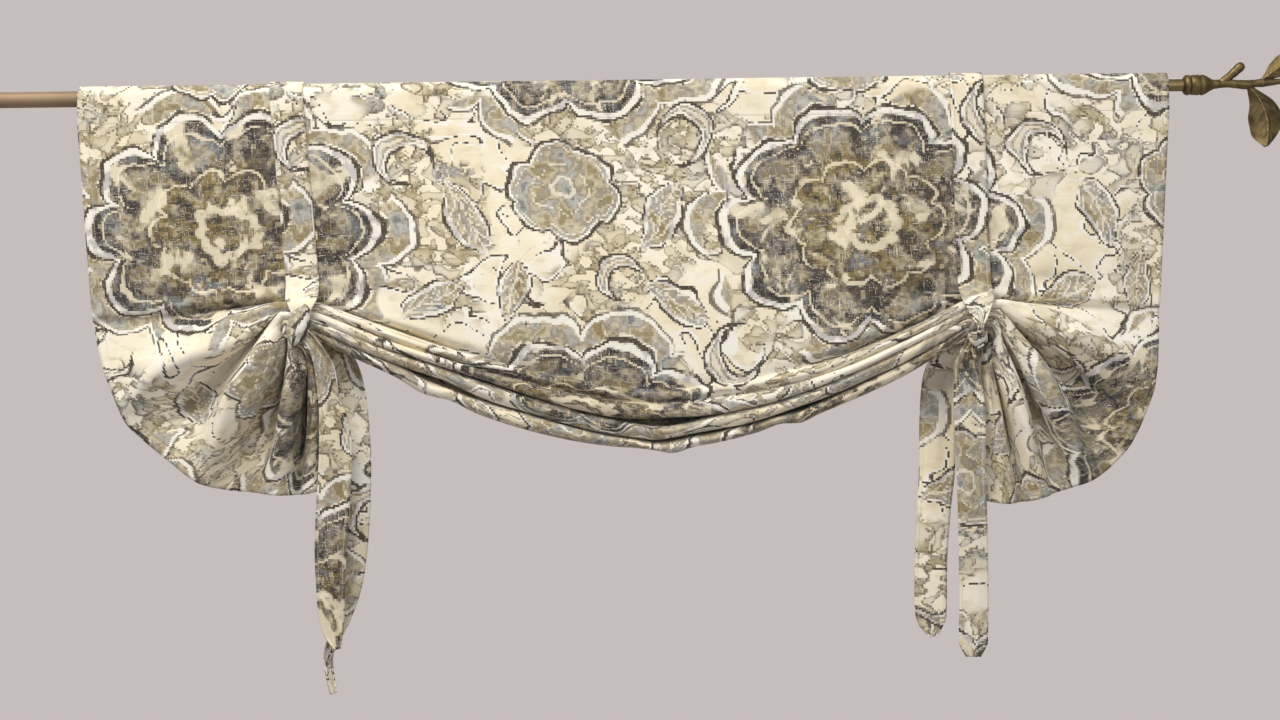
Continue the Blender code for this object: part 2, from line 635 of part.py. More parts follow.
def leaf(name, shape, finish):
    """A cupped pointed leaf from root to tip, as a thin closed plate."""
    root, tip = Vector(shape.root), Vector(shape.tip)
    length = (tip - root).length
    along = (tip - root).normalized()
    facing = Vector((0.0, math.cos(shape.lean), math.sin(shape.lean)))
    side = along.cross(facing).normalized()
    up = side.cross(along)
    verts, faces = [], []
    across = (-1.0, -0.5, 0.0, 0.5, 1.0)
    for i in range(LEAF_STEPS):
        share = i / (LEAF_STEPS - 1)
        round_share = lerp(LEAF_ROOT_SHARE, LEAF_TIP_SHARE, share)
        half = shape.half_width * math.sin(math.pi * round_share) ** LEAF_FULLNESS
        for face in (1, -1):
            for s in across:
                rise = LEAF_CUP * half * abs(s) ** LEAF_CUP_CURVE
                rise -= LEAF_DROOP * length * share ** 2
                middle = root.lerp(tip, share) + side * shape.bow * 4 * share * (1.0 - share)
                verts.append(middle + side * half * s + up * (rise + face * LEAF_THICKNESS / 2))
    row = 2 * len(across)
    for i in range(LEAF_STEPS - 1):
        for j in range(len(across) - 1):
            a = i * row + j
            faces.append((a, a + 1, a + row + 1, a + row))
            b = a + len(across)
            faces.append((b + row, b + row + 1, b + 1, b))
        for j in (0, len(across) - 1):
            a = i * row + j
            faces.append((a, a + len(across), a + len(across) + row, a + row))
    for i in (0, LEAF_STEPS - 1):
        upper = [i * row + j for j in range(len(across))]
        lower = [index + len(across) for index in reversed(upper)]
        faces.append(tuple(upper + lower))
    made = make_object(name, verts, faces, finish)
    drop_loose_points(made)
    return made


def make_finial():
    """Leafy bronze end of the rod, cast in one piece with its collar."""
    bronze = material("olive bronze", (0.20, 0.15, 0.07), 0.45, 1.0)
    start = INNER_TUBE_RIGHT_X + FINIAL_GAP
    collar = lathe("finial", [(start + x, radius) for x, radius in COLLAR], COLLAR_SIDES, bronze)
    join_by_union(collar, [twig("stem", STEM, bronze), twig("side stem", SIDE_STEM, bronze),
                           leaf("hanging leaf", HANGING_LEAF, bronze),
                           leaf("rising leaf", RISING_LEAF, bronze)])


def main():
    clear_scene()
    make_panel()
    make_tie(LEFT_TIE, LEFT_KNOT, LEFT_FRONT_TAIL, LEFT_BACK_TAIL)
    make_tie(RIGHT_TIE, RIGHT_KNOT, RIGHT_FRONT_TAIL, RIGHT_BACK_TAIL)
    make_rod()
    make_finial()


main()
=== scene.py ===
"""Tie-up valance on its curtain rod: the looks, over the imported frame.

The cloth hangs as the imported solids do. Its fine sheet is a flat grid of cut cloth, draped by
the same lines and folds, and it carries its flat measures in metres as a UV map, so the print
and the weave follow the cloth round every fold.
"""
import math
from collections import namedtuple

import bpy
import numpy as np
from mathutils import Matrix, Vector, noise


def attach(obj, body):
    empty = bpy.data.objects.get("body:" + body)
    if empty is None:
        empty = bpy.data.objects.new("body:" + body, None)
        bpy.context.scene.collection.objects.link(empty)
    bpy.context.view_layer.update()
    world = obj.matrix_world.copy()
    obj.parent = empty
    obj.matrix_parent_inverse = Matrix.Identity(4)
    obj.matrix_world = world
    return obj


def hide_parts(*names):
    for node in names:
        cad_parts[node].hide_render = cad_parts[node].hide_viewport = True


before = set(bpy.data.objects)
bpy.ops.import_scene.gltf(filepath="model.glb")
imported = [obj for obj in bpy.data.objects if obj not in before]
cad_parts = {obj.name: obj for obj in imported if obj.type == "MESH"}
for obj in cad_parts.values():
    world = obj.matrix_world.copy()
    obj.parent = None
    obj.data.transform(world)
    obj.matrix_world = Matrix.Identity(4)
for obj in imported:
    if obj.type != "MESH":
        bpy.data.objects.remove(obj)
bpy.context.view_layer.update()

# Soft unevenness: how high, how often it comes by two measures of its place, and a shift
Ripple = namedtuple("Ripple", "height across along shift")

# Cloth: how thick the fine sheets are, and the solids that give them their seats
CLOTH = 0.0012
TIE_CLOTH = 0.0014
SOLID_CLOTH = 0.0016
SOLID_TIE_CLOTH = 0.0012
SEAT_GAP = 0.0005

# Rod pocket: a round sleeve with a pressed top edge. Its turned-in end is sewn to the panel.
POCKET_R = 0.0095
POCKET_TOP = 0.0121
POCKET_SIDE_STEP = math.radians(25)
SEAM_Z = -0.026
PANEL_Y = -0.0105
TURNED_IN_BEHIND = 0.0017
TURNED_IN = ((0.0010, -0.0175), (0.0080, -0.0072))

# Gathered cloth
PINCH_HALF = 0.011
STACK_NOSE_Y = -0.032
STACK_TUCK_Y = -0.007
SWAG_SHOULDER_Y = -0.0355
FAN_SHOULDER_Y = -0.022
SWAG_LOW = 0.52
OPENING_RUN = 0.09
SOFT_TROUGH_RUN = 0.21
SWAG_ROUNDING = 0.16
SWAG_WOBBLE = 0.0016
LINE_RIPPLE = Ripple(0.0026, 11.0, 0.8, 0.3)
NOSE_RIPPLE = Ripple(0.0022, 9.0, 5.0, 2.1)
FAN_MIDDLE = 0.45
FAN_SLANT = 0.016
FAN_INNER_START = 0.065
FAN_INNER_CURVE = 0.45
FAN_INNER_FALL = 4
INNER_TUCK = 0.8
FAN_OPEN_BY = 0.8
FAN_EDGE_BULGE_LOSS = 0.7
CLEAR_OF_TIE = 0.018
BULGE_RUN = 0.050
FLAT_DROP = 0.62
WAVE_DEPTH = 0.0022
WAVE_LENGTH = 0.118
WAVE_PHASE = 0.8
WAVE_END = 0.91

# inner_bow is how far the fan's inner hem swings towards the swag below its tie, and fan_bow how
# far its folds swing outward on their way down.
Tie = namedtuple("Tie", "side outward top_x knot_x stack_top edge_top_x inner_bow fan_bow")
LEFT_TIE = Tie("left", -1, -0.337, -0.321, 0.206, -0.547, 0.024, 0.001)
RIGHT_TIE = Tie("right", 1, 0.3466, 0.352, 0.213, 0.550, 0.015, 0.014)

# A line is where the cloth tucks in between two folds. knot_drop is from the top of the
# gathered stack, mid_drop from the rod's axis. The curves are the powers of the swag's sag on
# each side of its lowest point, and wander shifts a line's slow wobble along the swag. The
# edges are shares of the fan's outline.
Line = namedtuple("Line", "name knot_drop mid_drop mid_y left_curve right_curve wander"
                          " left_edge right_edge fan_y edge_y")
LINES = (
    Line("soft trough", 0.002, 0.299, -0.0335, 1.15, 1.85, 0.0, 0.05, 0.04, -0.010, -0.011),
    Line("second trough", 0.011, 0.315, -0.0300, 1.20, 1.90, 0.6, 0.45, 0.56, 0.003, -0.008),
    Line("lip", 0.020, 0.331, -0.0010, 1.20, 1.70, 1.7, 0.79, 0.76, 0.005, -0.006),
    Line("middle roll", 0.029, 0.3465, 0.0020, 1.45, 1.85, 3.3, 0.91, 0.87, 0.004, -0.003),
    Line("lower roll", 0.038, 0.3586, 0.0030, 1.60, 1.95, 4.4, 1.00, 1.00, 0.001, -0.005),
)

# A fold stands forward between two lines. The noses are its front, and open tells how far
# its sides have spread, from 0 for a tight roll to 1 for a soft wave.
Fold = namedtuple("Fold", "name mid_nose mid_open fan_nose edge_nose fan_open")
FOLDS = (
    Fold("panel wave", -0.0370, 1.0, -0.040, -0.019, 1.0),
    Fold("lip roll", -0.0385, 0.1, -0.046, -0.022, 1.0),
    Fold("middle roll", -0.0350, 0.1, -0.041, -0.023, 0.7),
    Fold("lower roll", -0.0310, 0.1, -0.034, -0.019, 0.6),
)

# One fold's section: how far along it lies and how far forward, tight and soft. A tight fold's
# places along it run from its upper side to its lower one.
Row = namedtuple("Row", "name tight_along tight_forward soft_along soft_forward")
SECTION = (
    Row("tuck", None, 0.0, 0.0, 0.0),
    Row("upper side", 0.0, 0.50, 0.14, 0.16),
    Row("upper shoulder", 0.02, 0.84, 0.26, 0.50),
    Row("above nose", 0.20, 0.96, 0.38, 0.86),
    Row("nose", 0.48, 1.0, 0.50, 1.0),
    Row("below nose", 0.78, 0.95, 0.62, 0.86),
    Row("lower shoulder", 0.98, 0.82, 0.74, 0.50),
    Row("lower side", 1.0, 0.46, 0.86, 0.16),
)
HEM = Row("hem", 0.99, 0.06, 0.96, 0.04)

# Half the gap between two closed rolls, as a share of a roll's height
CLOSED_GAP = 0.035
# How far forward the cloth lies between two rolls: as a rule, how that changes along them, at
# most, and how fast it sinks as they part
SHALLOW_TUCK = 0.34
TUCK_CHANGE = Ripple(1.1, 8.0, 3.1, 6.0)
SHALLOWEST_TUCK = 0.62
PARTED_TUCK_LOSS = 8.0

# Where the swag's rolls part: number of the line between them, place along x, half length and
# how far they part, as a share of a roll's height
Parting = namedtuple("Parting", "line x half_length size")
PARTINGS = (
    Parting(2, 0.046, 0.034, 0.30),
    Parting(2, -0.120, 0.060, 0.05),
    Parting(3, -0.182, 0.030, 0.20),
    Parting(3, 0.170, 0.024, 0.16),
    Parting(3, 0.070, 0.050, 0.08),
    Parting(1, 0.205, 0.060, 0.07),
    Parting(1, -0.235, 0.040, 0.06),
)

# Kinks in the swag: how deep in the gathered stack, place along x, half length, and how far
# down and forward they push the cloth
Kink = namedtuple("Kink", "knot_drop x half_length down forward")
KINKS = (
    Kink(0.036, -0.205, 0.016, 0.0035, -0.0020), Kink(0.036, -0.172, 0.014, -0.0026, 0.0020),
    Kink(0.037, 0.048, 0.014, 0.0050, -0.0030), Kink(0.032, 0.030, 0.020, 0.0040, -0.0050),
    Kink(0.036, 0.152, 0.013, -0.0026, 0.0016), Kink(0.037, 0.176, 0.012, 0.0030, -0.0020),
    Kink(0.024, 0.085, 0.030, -0.0020, 0.0020), Kink(0.015, -0.090, 0.050, 0.0022, 0.0020),
    Kink(0.026, -0.090, 0.040, -0.0022, 0.0016), Kink(0.014, 0.190, 0.045, -0.0030, 0.0018),
)
KINK_DEPTH = 0.0055
UPPER_SHARES = (0.16, 0.33, 0.50, 0.66, 0.80, 0.91, 0.965)

# Free edge of each fan, from level with the stack's top to its inner corner, as x and z
LEFT_OUTLINE = ((-0.536, -0.209), (-0.526, -0.263), (-0.508, -0.311), (-0.496, -0.335),
                (-0.454, -0.370), (-0.420, -0.391), (-0.373, -0.399), (-0.329, -0.4015),
                (-0.300, -0.395))
RIGHT_OUTLINE = ((0.537, -0.215), (0.536, -0.257), (0.530, -0.303), (0.5085, -0.359),
                 (0.482, -0.388), (0.449, -0.403), (0.419, -0.413), (0.385, -0.4195),
                 (0.354, -0.415))

# Points of the fine sheet, and how much closer together its columns are at a fan's two edges
FAN_COLUMNS = 34
FAN_CROWDING = 0.35
SWAG_COLUMNS = 120
POCKET_STEPS = 3
UPPER_STEPS = 6
FOLD_STEPS = 4

# Creases pressed into the upper cloth: from and to as x and z, half width and depth
Crease = namedtuple("Crease", "x0 z0 x1 z1 half_width depth")
CREASES = (
    Crease(-0.350, -0.196, -0.470, -0.176, 0.010, 0.0030),
    Crease(-0.346, -0.185, -0.440, -0.130, 0.012, 0.0022),
    Crease(-0.300, -0.198, -0.200, -0.205, 0.009, 0.0028),
    Crease(-0.302, -0.180, -0.215, -0.140, 0.012, 0.0022),
    Crease(0.330, -0.205, 0.215, -0.215, 0.010, 0.0032),
    Crease(0.328, -0.190, 0.235, -0.140, 0.012, 0.0022),
    Crease(0.374, -0.203, 0.480, -0.196, 0.010, 0.0030),
    Crease(0.376, -0.188, 0.450, -0.120, 0.012, 0.0020),
)
# A crease widens from its start to its end, and fades in and out over shares of its length
CREASE_WIDTHS = (0.6, 1.5)
CREASE_FADE_IN = 0.12
CREASE_REACH = 1.15
CREASE_FADE_OUT = 0.8
STRAP_MARGIN = 0.02

# Creases that fan out from a tie: where they end, as a share of the fan's outline, half width,
# depth and how far out they reach, with a minus for a ridge
FanCrease = namedtuple("FanCrease", "side edge half_width depth reach")
FAN_CREASES = (
    FanCrease("left", -0.14, 0.035, 0.0022, 0.75), FanCrease("left", 0.17, 0.042, 0.0056, 0.95),
    FanCrease("left", 0.29, 0.032, -0.0068, 1.20), FanCrease("left", 0.43, 0.020, 0.0068, 1.15),
    FanCrease("left", 0.51, 0.020, 0.0034, 0.95), FanCrease("left", 0.61, 0.020, -0.0060, 1.20),
    FanCrease("left", 0.71, 0.020, 0.0062, 1.10), FanCrease("left", 0.86, 0.014, -0.0030, 0.95),
    FanCrease("right", -0.12, 0.035, 0.0022, 0.75), FanCrease("right", 0.15, 0.040, 0.0044, 0.95),
    FanCrease("right", 0.28, 0.034, -0.0054, 1.20), FanCrease("right", 0.43, 0.034, 0.0052, 1.00),
    FanCrease("right", 0.60, 0.020, 0.0036, 1.00), FanCrease("right", 0.67, 0.024, -0.0048, 1.20),
    FanCrease("right", 0.73, 0.018, 0.0040, 1.10), FanCrease("right", 0.93, 0.014, 0.0030, 0.95),
)
FAN_CREASE_START = 0.30
FAN_CREASE_FADE = 0.45
FAN_CREASE_BEND = 0.02
FAN_CREASE_SWINGS = 7.0
FAN_CREASE_SHIFT = 23.0

UPPER_RIPPLES = (Ripple(0.0030, 8.0, 2.2, 0.4), Ripple(0.0012, 26.0, 5.0, 1.9))
UPPER_SLACK = 0.0008
UPPER_HOLD_CURVE = 0.6
NEAR_FAN_RIPPLE = Ripple(0.0022, 95.0, 2.2, 7.0)
OUTER_FAN_RIPPLE = Ripple(0.0011, 38.0, 4.0, 11.0)
SWAG_RIPPLE = Ripple(0.0006, 120.0, 9.0, 3.0)
NEAR_SWAG_RIPPLE = Ripple(0.0008, 120.0, 9.0, 3.0)
NEAR_FAN_SHARE = 0.22
NEAR_FAN_HALF = 0.26
NEAR_SWAG_RUN = 0.10
WRINKLE_ROWS_ABOVE = 8
WRINKLE_SEED = 3.7

# Ties. Each knot is a slim wrapped lump: drop is its middle's, from the top of the gathered
# stack, and its lower end leans to the left.
TIE_HALF_WIDTH = 0.0166
KNOT_Y = -0.0425
KNOT_HALF_DEPTH = 0.0086
Knot = namedtuple("Knot", "x drop half_width half_height lean")
LEFT_KNOT = Knot(-0.3225, 0.0250, 0.0108, 0.0215, math.radians(17))
RIGHT_KNOT = Knot(0.3500, 0.0350, 0.0094, 0.0135, math.radians(8))
KNOT_PLEATS = 2.5
KNOT_TWIST = 3.2
KNOT_PLEAT_LIFT = 0.13
KNOT_PLEAT_ROUNDNESS = 0.6
KNOT_PLEAT_REST = 0.6
KNOT_LUMPS = 0.10
KNOT_LUMP_RATES = (1.6, 1.6, 2.4)
KNOT_SEGMENTS = 48
KNOT_RINGS = 40
# The wrap that holds the knot: how deep it cuts in, how high up it lies and its half height
KNOT_WRAP = (0.16, 0.52, 0.13)

# One tie's way down the front, round the gathered stack and up the back, as y, z and half width.
# The heights round the stack are the left tie's. The right tie's lie lower, as its stack does.
FRONT_STRAP = ((-0.0126, -0.026, 0.0166), (-0.0127, -0.080, 0.0166), (-0.0127, -0.135, 0.0166))
LEFT_WRAP = ((-0.0130, -0.1780, 0.0166), (-0.0165, -0.1920, 0.0166), (-0.0270, -0.2000, 0.0164),
             (-0.0355, -0.2070, 0.0152), (-0.0395, -0.2140, 0.0116), (-0.0400, -0.2230, 0.0075))
RIGHT_WRAP = ((-0.0130, -0.1780, 0.0166), (-0.0165, -0.1930, 0.0166), (-0.0270, -0.2010, 0.0166),
              (-0.0370, -0.2070, 0.0158), (-0.0425, -0.2160, 0.0118), (-0.0470, -0.2280, 0.0062),
              (-0.0490, -0.2350, 0.0024))
UNDER_STACK = ((-0.0385, -0.2400, 0.0070), (-0.0335, -0.2465, 0.0085), (-0.0270, -0.2500, 0.0090),
               (-0.0150, -0.2505, 0.0090), (-0.0065, -0.2480, 0.0090), (-0.0042, -0.2400, 0.0090),
               (-0.0040, -0.2080, 0.0090), (-0.0030, -0.1800, 0.0166))
BACK_STRAP = ((0.0010, -0.120, 0.0166), (0.0062, -0.060, 0.0166), (0.0108, -0.010, 0.0166))

# Free ends of the ties, from the knot to the tip. The turn is the strip's about its length, in
# radians.
TailRow = namedtuple("TailRow", "x y z half_width turn")
LEFT_FRONT_TAIL = (
    TailRow(-0.3190, -0.0420, -0.238, 0.0050, 0.0), TailRow(-0.3085, -0.0405, -0.251, 0.0058, 0.2),
    TailRow(-0.3000, -0.0355, -0.272, 0.0088, 0.35), TailRow(-0.2955, -0.0300, -0.305, 0.0104, 0.3),
    TailRow(-0.2912, -0.0270, -0.330, 0.0148, 0.2), TailRow(-0.2902, -0.0240, -0.360, 0.0164, 0.1),
    TailRow(-0.2938, -0.0210, -0.410, 0.0166, 0.0), TailRow(-0.2970, -0.0195, -0.456, 0.0162, -0.05),
    TailRow(-0.2976, -0.0185, -0.4965, 0.0144, 0.0), TailRow(-0.2971, -0.0180, -0.527, 0.0126, 0.0),
    TailRow(-0.2947, -0.0180, -0.5432, 0.0084, 0.1), TailRow(-0.2912, -0.0180, -0.556, 0.0024, 0.1),
)
LEFT_BACK_TAIL = (
    TailRow(-0.3180, -0.0060, -0.2475, 0.0050, 0.0), TailRow(-0.3030, 0.0030, -0.252, 0.0065, 0.0),
    TailRow(-0.2870, 0.0060, -0.263, 0.0100, 0.1), TailRow(-0.2775, 0.0045, -0.292, 0.0130, 0.2),
    TailRow(-0.2740, 0.0020, -0.350, 0.0160, 0.2), TailRow(-0.2750, 0.0000, -0.420, 0.0160, 0.3),
    TailRow(-0.2800, -0.0010, -0.485, 0.0150, 0.5), TailRow(-0.2905, -0.0010, -0.530, 0.0120, 0.8),
    TailRow(-0.3030, 0.0000, -0.562, 0.0070, 1.0), TailRow(-0.3025, 0.0000, -0.585, 0.0050, 1.0),
    TailRow(-0.2990, 0.0000, -0.603, 0.0022, 1.0),
)
RIGHT_FRONT_TAIL = (
    TailRow(0.3500, -0.0420, -0.247, 0.0050, 0.0), TailRow(0.3425, -0.0410, -0.263, 0.0065, -0.2),
    TailRow(0.3385, -0.0395, -0.282, 0.0115, -0.2), TailRow(0.3412, -0.0385, -0.315, 0.0152, -0.1),
    TailRow(0.3432, -0.0345, -0.370, 0.0148, 0.0), TailRow(0.3450, -0.0275, -0.440, 0.0148, 0.1),
    TailRow(0.3461, -0.0210, -0.510, 0.0146, 0.0), TailRow(0.3452, -0.0200, -0.548, 0.0146, 0.0),
    TailRow(0.3450, -0.0200, -0.560, 0.0138, 0.0), TailRow(0.3448, -0.0200, -0.5715, 0.0068, 0.0),
)
RIGHT_BACK_TAIL = (
    TailRow(0.3490, -0.0060, -0.2545, 0.0050, 0.0), TailRow(0.3380, 0.0020, -0.263, 0.0065, 0.0),
    TailRow(0.3245, 0.0055, -0.272, 0.0105, -0.1), TailRow(0.3170, 0.0050, -0.292, 0.0160, -0.1),
    TailRow(0.3148, 0.0030, -0.340, 0.0182, 0.0), TailRow(0.3138, 0.0020, -0.385, 0.0180, 0.0),
    TailRow(0.3105, 0.0010, -0.420, 0.0172, 0.1),
    TailRow(0.3064, 0.0000, -0.471, 0.0164, 0.05), TailRow(0.3053, 0.0000, -0.520, 0.0162, 0.0),
    TailRow(0.3058, 0.0000, -0.537, 0.0144, 0.0), TailRow(0.3066, 0.0000, -0.5475, 0.0078, 0.0),
    TailRow(0.3067, 0.0000, -0.5530, 0.0030, 0.0),
)

# Where on the printed cloth each strip of a tie was cut, as x and the height of its start
TieCuts = namedtuple("TieCuts", "strap front back knot")
LEFT_CUTS = TieCuts((-0.236, 0.03), (-0.040, -0.05), (0.402, -0.30), (-0.548, -0.10))
RIGHT_CUTS = TieCuts((0.078, -0.20), (-0.055, -0.385), (0.415, -0.02), (0.30, -0.20))
STRIP_COLUMNS = 10
STRIP_STEPS = 6
STRIP_PLEATS = 3.0
STRIP_PLEAT_HEIGHT = 0.0034
STRIP_CURL = Ripple(0.0022, 1.0, 9.0, 1.0)
STRIP_CURL_REST = 0.35
STRIP_RIPPLE = 0.0011
STRIP_RIPPLE_RATES = (1.3, 22.0)
STRIP_JOIN_POWER = 20
STRIP_LEAST_HALF = 0.001
TAIL_CURL = 0.0022
# The fold that runs down a free end from its knot: place across it, half width, height and length
TAIL_FOLD = (0.30, 0.34, 0.0042, 0.24)
TAIL_FOLD_DRIFT = 0.25
TAIL_FOLD_SWINGS = 16.0

# Finial: the collar's rows are x and radius, the stems' are x, y, z and radius
COLLAR = ((0.5663, 0.0074), (0.5668, 0.0080), (0.5680, 0.0096), (0.5690, 0.0102), (0.5706, 0.0106),
          (0.5722, 0.0104), (0.5730, 0.0096), (0.5738, 0.0095), (0.5746, 0.0102), (0.5790, 0.0104),
          (0.5816, 0.0106), (0.5826, 0.0099), (0.5834, 0.0098), (0.5842, 0.0106), (0.5860, 0.0107),
          (0.5874, 0.0102), (0.5890, 0.0094), (0.5912, 0.0080), (0.5935, 0.0066), (0.5963, 0.0052))
STEM = ((0.5933, 0.0000, 0.0000, 0.0052), (0.6020, 0.0000, 0.0006, 0.0046),
        (0.6120, 0.0004, 0.0010, 0.0042), (0.6220, 0.0000, 0.0000, 0.0045),
        (0.6300, -0.0003, -0.0005, 0.0048), (0.6390, 0.0000, 0.0006, 0.0041),
        (0.6480, 0.0003, 0.0012, 0.0042), (0.6580, 0.0000, 0.0018, 0.0034),
        (0.6680, 0.0000, 0.0026, 0.0026), (0.6738, 0.0000, 0.0030, 0.0014))
STUB = ((0.6050, 0.0000, 0.0020, 0.0038), (0.6125, 0.0000, 0.0072, 0.0043),
        (0.6190, 0.0000, 0.0128, 0.0048), (0.6240, 0.0000, 0.0172, 0.0049),
        (0.6266, 0.0000, 0.0193, 0.0040), (0.6277, 0.0000, 0.0202, 0.0020))
TWIG_STEPS = 6
TWIG_ROUNDNESS = 6
# Knobs of a stem, by place and from step to step, as shares of its radius
STEM_KNOBS = Ripple(0.10, 160.0, 160.0, 2.0)
STEP_KNOBS = Ripple(0.08, 0.9, 1.0, 4.0)
COLLAR_SEGMENTS = 48
COLLAR_SHARP = math.radians(40)
TWIG_SHARP = math.radians(50)

# Leaves: a blade from root to tip, turned about its midrib by lean and swung aside by bow. The
# other sizes are shares of its length or half width, and heights and widths in metres.
Leaf = namedtuple("Leaf", "root tip half_width lean bow")
HANGING_LEAF = Leaf((0.6290, -0.001, 0.001), (0.6478, -0.004, -0.0638), 0.0174, 0.25, 0.0100)
RISING_LEAF = Leaf((0.643, -0.001, 0.002), (0.682, -0.004, 0.0290), 0.0105, -0.2, 0.0)
LEAF_THICKNESS = 0.0015
LEAF_ROOT_SHARE = 0.03
LEAF_TIP_SHARE = 0.985
LEAF_FULLEST = 1.50
LEAF_FULLNESS = 0.9
LEAF_EDGE_WAVE = 0.035
LEAF_EDGE_SWINGS = 19.0
LEAF_EDGE_SHIFT = 1.5
LEAF_CUP = 0.42
LEAF_CUP_CURVE = 1.3
LEAF_DROOP = 0.05
VEINS = 6.5
VEIN_SLANT = 1.6
VEIN_HALF_WIDTH = 0.13
VEIN_HEIGHT = 0.0006
MIDRIB_HALF_WIDTH = 0.09
MIDRIB_HEIGHT = 0.0009
LEAF_CURL = 0.0011
LEAF_CURL_SWINGS = 11.0
LEAF_CURL_SHIFT = 2.0
BLADE_LENGTHS = 60
BLADE_WIDTHS = 32

# Print
PRINT_STEP = 0.0021
STITCH_LENGTH = 0.0028
FLAT_MAP = "flat cloth"
STITCH_MAP = "inside the stitches"
BOTTOM_HEM = 0.012
SIDE_HEM = 0.010
TIE_HEM = 0.0035


def tone(red, green, blue):
    """A colour given on a 0 to 255 scale, as Blender's linear one."""
    return tuple(((c / 255 + 0.055) / 1.055) ** 2.4 for c in (red, green, blue)) + (1.0,)


CREAM = tone(254, 247, 230)
BUTTER = tone(245, 233, 205)
SAND = tone(218, 204, 170)
STONE = tone(200, 190, 164)
PALE_OLIVE = tone(188, 174, 134)
PALE_SLATE = tone(182, 182, 176)
TAUPE = tone(150, 140, 124)
CHARCOAL = tone(72, 67, 66)
SOOT = tone(52, 50, 54)
UMBER = tone(100, 82, 58)
OLIVE = tone(146, 128, 84)
DARK_OLIVE = tone(112, 96, 60)
SLATE = tone(116, 120, 126)
CHALK = tone(250, 247, 238)
LILAC_GREY = tone(200, 196, 196)
INK = tone(78, 70, 60)
BROWN_LINE = tone(100, 88, 70)
THREAD = tone(222, 212, 188)
CLOTH_BACK = tone(228, 221, 200)


# Shapes and small helpers

def lerp(a, b, share):
    return a + (b - a) * share


def ease(share):
    """Smooth step from 0 to 1."""
    share = min(max(share, 0.0), 1.0)
    return share * share * (3.0 - 2.0 * share)


def through_points(points, steps):
    """Points on a smooth curve through the given ones, with steps in each stretch."""
    points = np.asarray(points, dtype=float)
    steps = np.broadcast_to(steps, (len(points) - 1,))
    made = []
    for i, count in enumerate(steps):
        a, b = points[max(i - 1, 0)], points[i]
        c, d = points[i + 1], points[min(i + 2, len(points) - 1)]
        for t in np.arange(count) / count:
            made.append(0.5 * (2 * b + (c - a) * t + (2 * a - 5 * b + 4 * c - d) * t ** 2
                               + (3 * b - a - 3 * c + d) * t ** 3))
    made.append(points[-1])
    return np.array(made)


def wobble(*place):
    """Smooth noise about zero at a place of up to three numbers."""
    return noise.noise(Vector((*place, WRINKLE_SEED)[:3]))


def ripple(kind, across, along):
    """Height of one kind of unevenness at a place."""
    return kind.height * wobble(across * kind.across, along * kind.along, kind.shift)


def ease_each(shares):
    """Smooth step from 0 to 1 for an array."""
    shares = np.clip(shares, 0.0, 1.0)
    return shares * shares * (3.0 - 2.0 * shares)


def select_only(made):
    bpy.ops.object.select_all(action="DESELECT")
    made.select_set(True)
    bpy.context.view_layer.objects.active = made


def apply_modifiers(made):
    select_only(made)
    for modifier in list(made.modifiers):
        bpy.ops.object.modifier_apply(modifier=modifier.name)


def drape_grid(name, points, flat, inside, finishes):
    """A cut of cloth added as a flat grid and draped over points, its face to the front.

    points, flat and inside have a row for each row of cloth from top to bottom, with a place, a
    flat place and the distance inside the nearest stitches for each column from left to right.
    """
    rows, columns = points.shape[:2]
    bpy.ops.object.select_all(action="DESELECT")
    bpy.ops.mesh.primitive_grid_add(x_subdivisions=columns - 1, y_subdivisions=rows - 1, size=1.0)
    made = bpy.context.object
    made.name = name
    mesh = made.data
    mesh.name = name
    assert len(mesh.vertices) == rows * columns
    mesh.vertices.foreach_set("co", points[::-1].reshape(-1).astype(np.float32))
    corner = np.empty(len(mesh.loops), dtype=np.int32)
    mesh.loops.foreach_get("vertex_index", corner)
    flat_map = mesh.uv_layers.active
    flat_map.name = FLAT_MAP
    flat_map.data.foreach_set("uv", flat[::-1].reshape(-1, 2)[corner].reshape(-1))
    stitch_map = mesh.attributes.new(STITCH_MAP, "FLOAT", "POINT")
    stitch_map.data.foreach_set("value", inside[::-1].reshape(-1).astype(np.float32))
    mesh.update()
    for finish in finishes:
        mesh.materials.append(finish)
    mesh.shade_smooth()
    return made


def thicken(made, thickness, back_finish=False):
    """Gives a draped sheet its thickness, half to each side."""
    solid = made.modifiers.new("thickness", "SOLIDIFY")
    solid.thickness = thickness
    solid.offset = 0.0
    if back_finish:
        solid.material_offset = 1
    apply_modifiers(made)


def grid_normals(points):
    down = np.gradient(points, axis=0)
    across = np.gradient(points, axis=1)
    normal = np.cross(down, across)
    return normal / np.maximum(np.linalg.norm(normal, axis=2, keepdims=True), 1e-12)


# The panel's drape

def pocket_arc(radius):
    """Front half of a sleeve of this radius, from its pressed top down to its side."""
    top = radius * POCKET_TOP / POCKET_R
    flank = math.pi / 2 - math.acos(POCKET_R / POCKET_TOP)
    arc = [(0.0, top)]
    for angle in (flank, POCKET_SIDE_STEP, 0.0):
        arc.append((-radius * math.cos(angle), radius * math.sin(angle)))
    return arc


def pocket_rows():
    """Section of the rod pocket, from the turned-in end up the back and over to the seam."""
    front = pocket_arc(POCKET_R)
    back = [(-y, z) for y, z in reversed(front[1:])]
    return [(PANEL_Y + TURNED_IN_BEHIND, SEAM_Z), *TURNED_IN, *back, *front, (PANEL_Y, SEAM_Z)]


SMOOTH_OUTLINES = {tie.side: through_points(outline, 6) for tie, outline in
                   ((LEFT_TIE, LEFT_OUTLINE), (RIGHT_TIE, RIGHT_OUTLINE))}


def along_outline(outline, share):
    """Point at a share of the outline's length, as x and z."""
    steps = np.linalg.norm(np.diff(outline, axis=0), axis=1)
    run = np.concatenate(([0.0], np.cumsum(steps)))
    return [float(np.interp(share * run[-1], run, outline[:, k])) for k in (0, 1)]


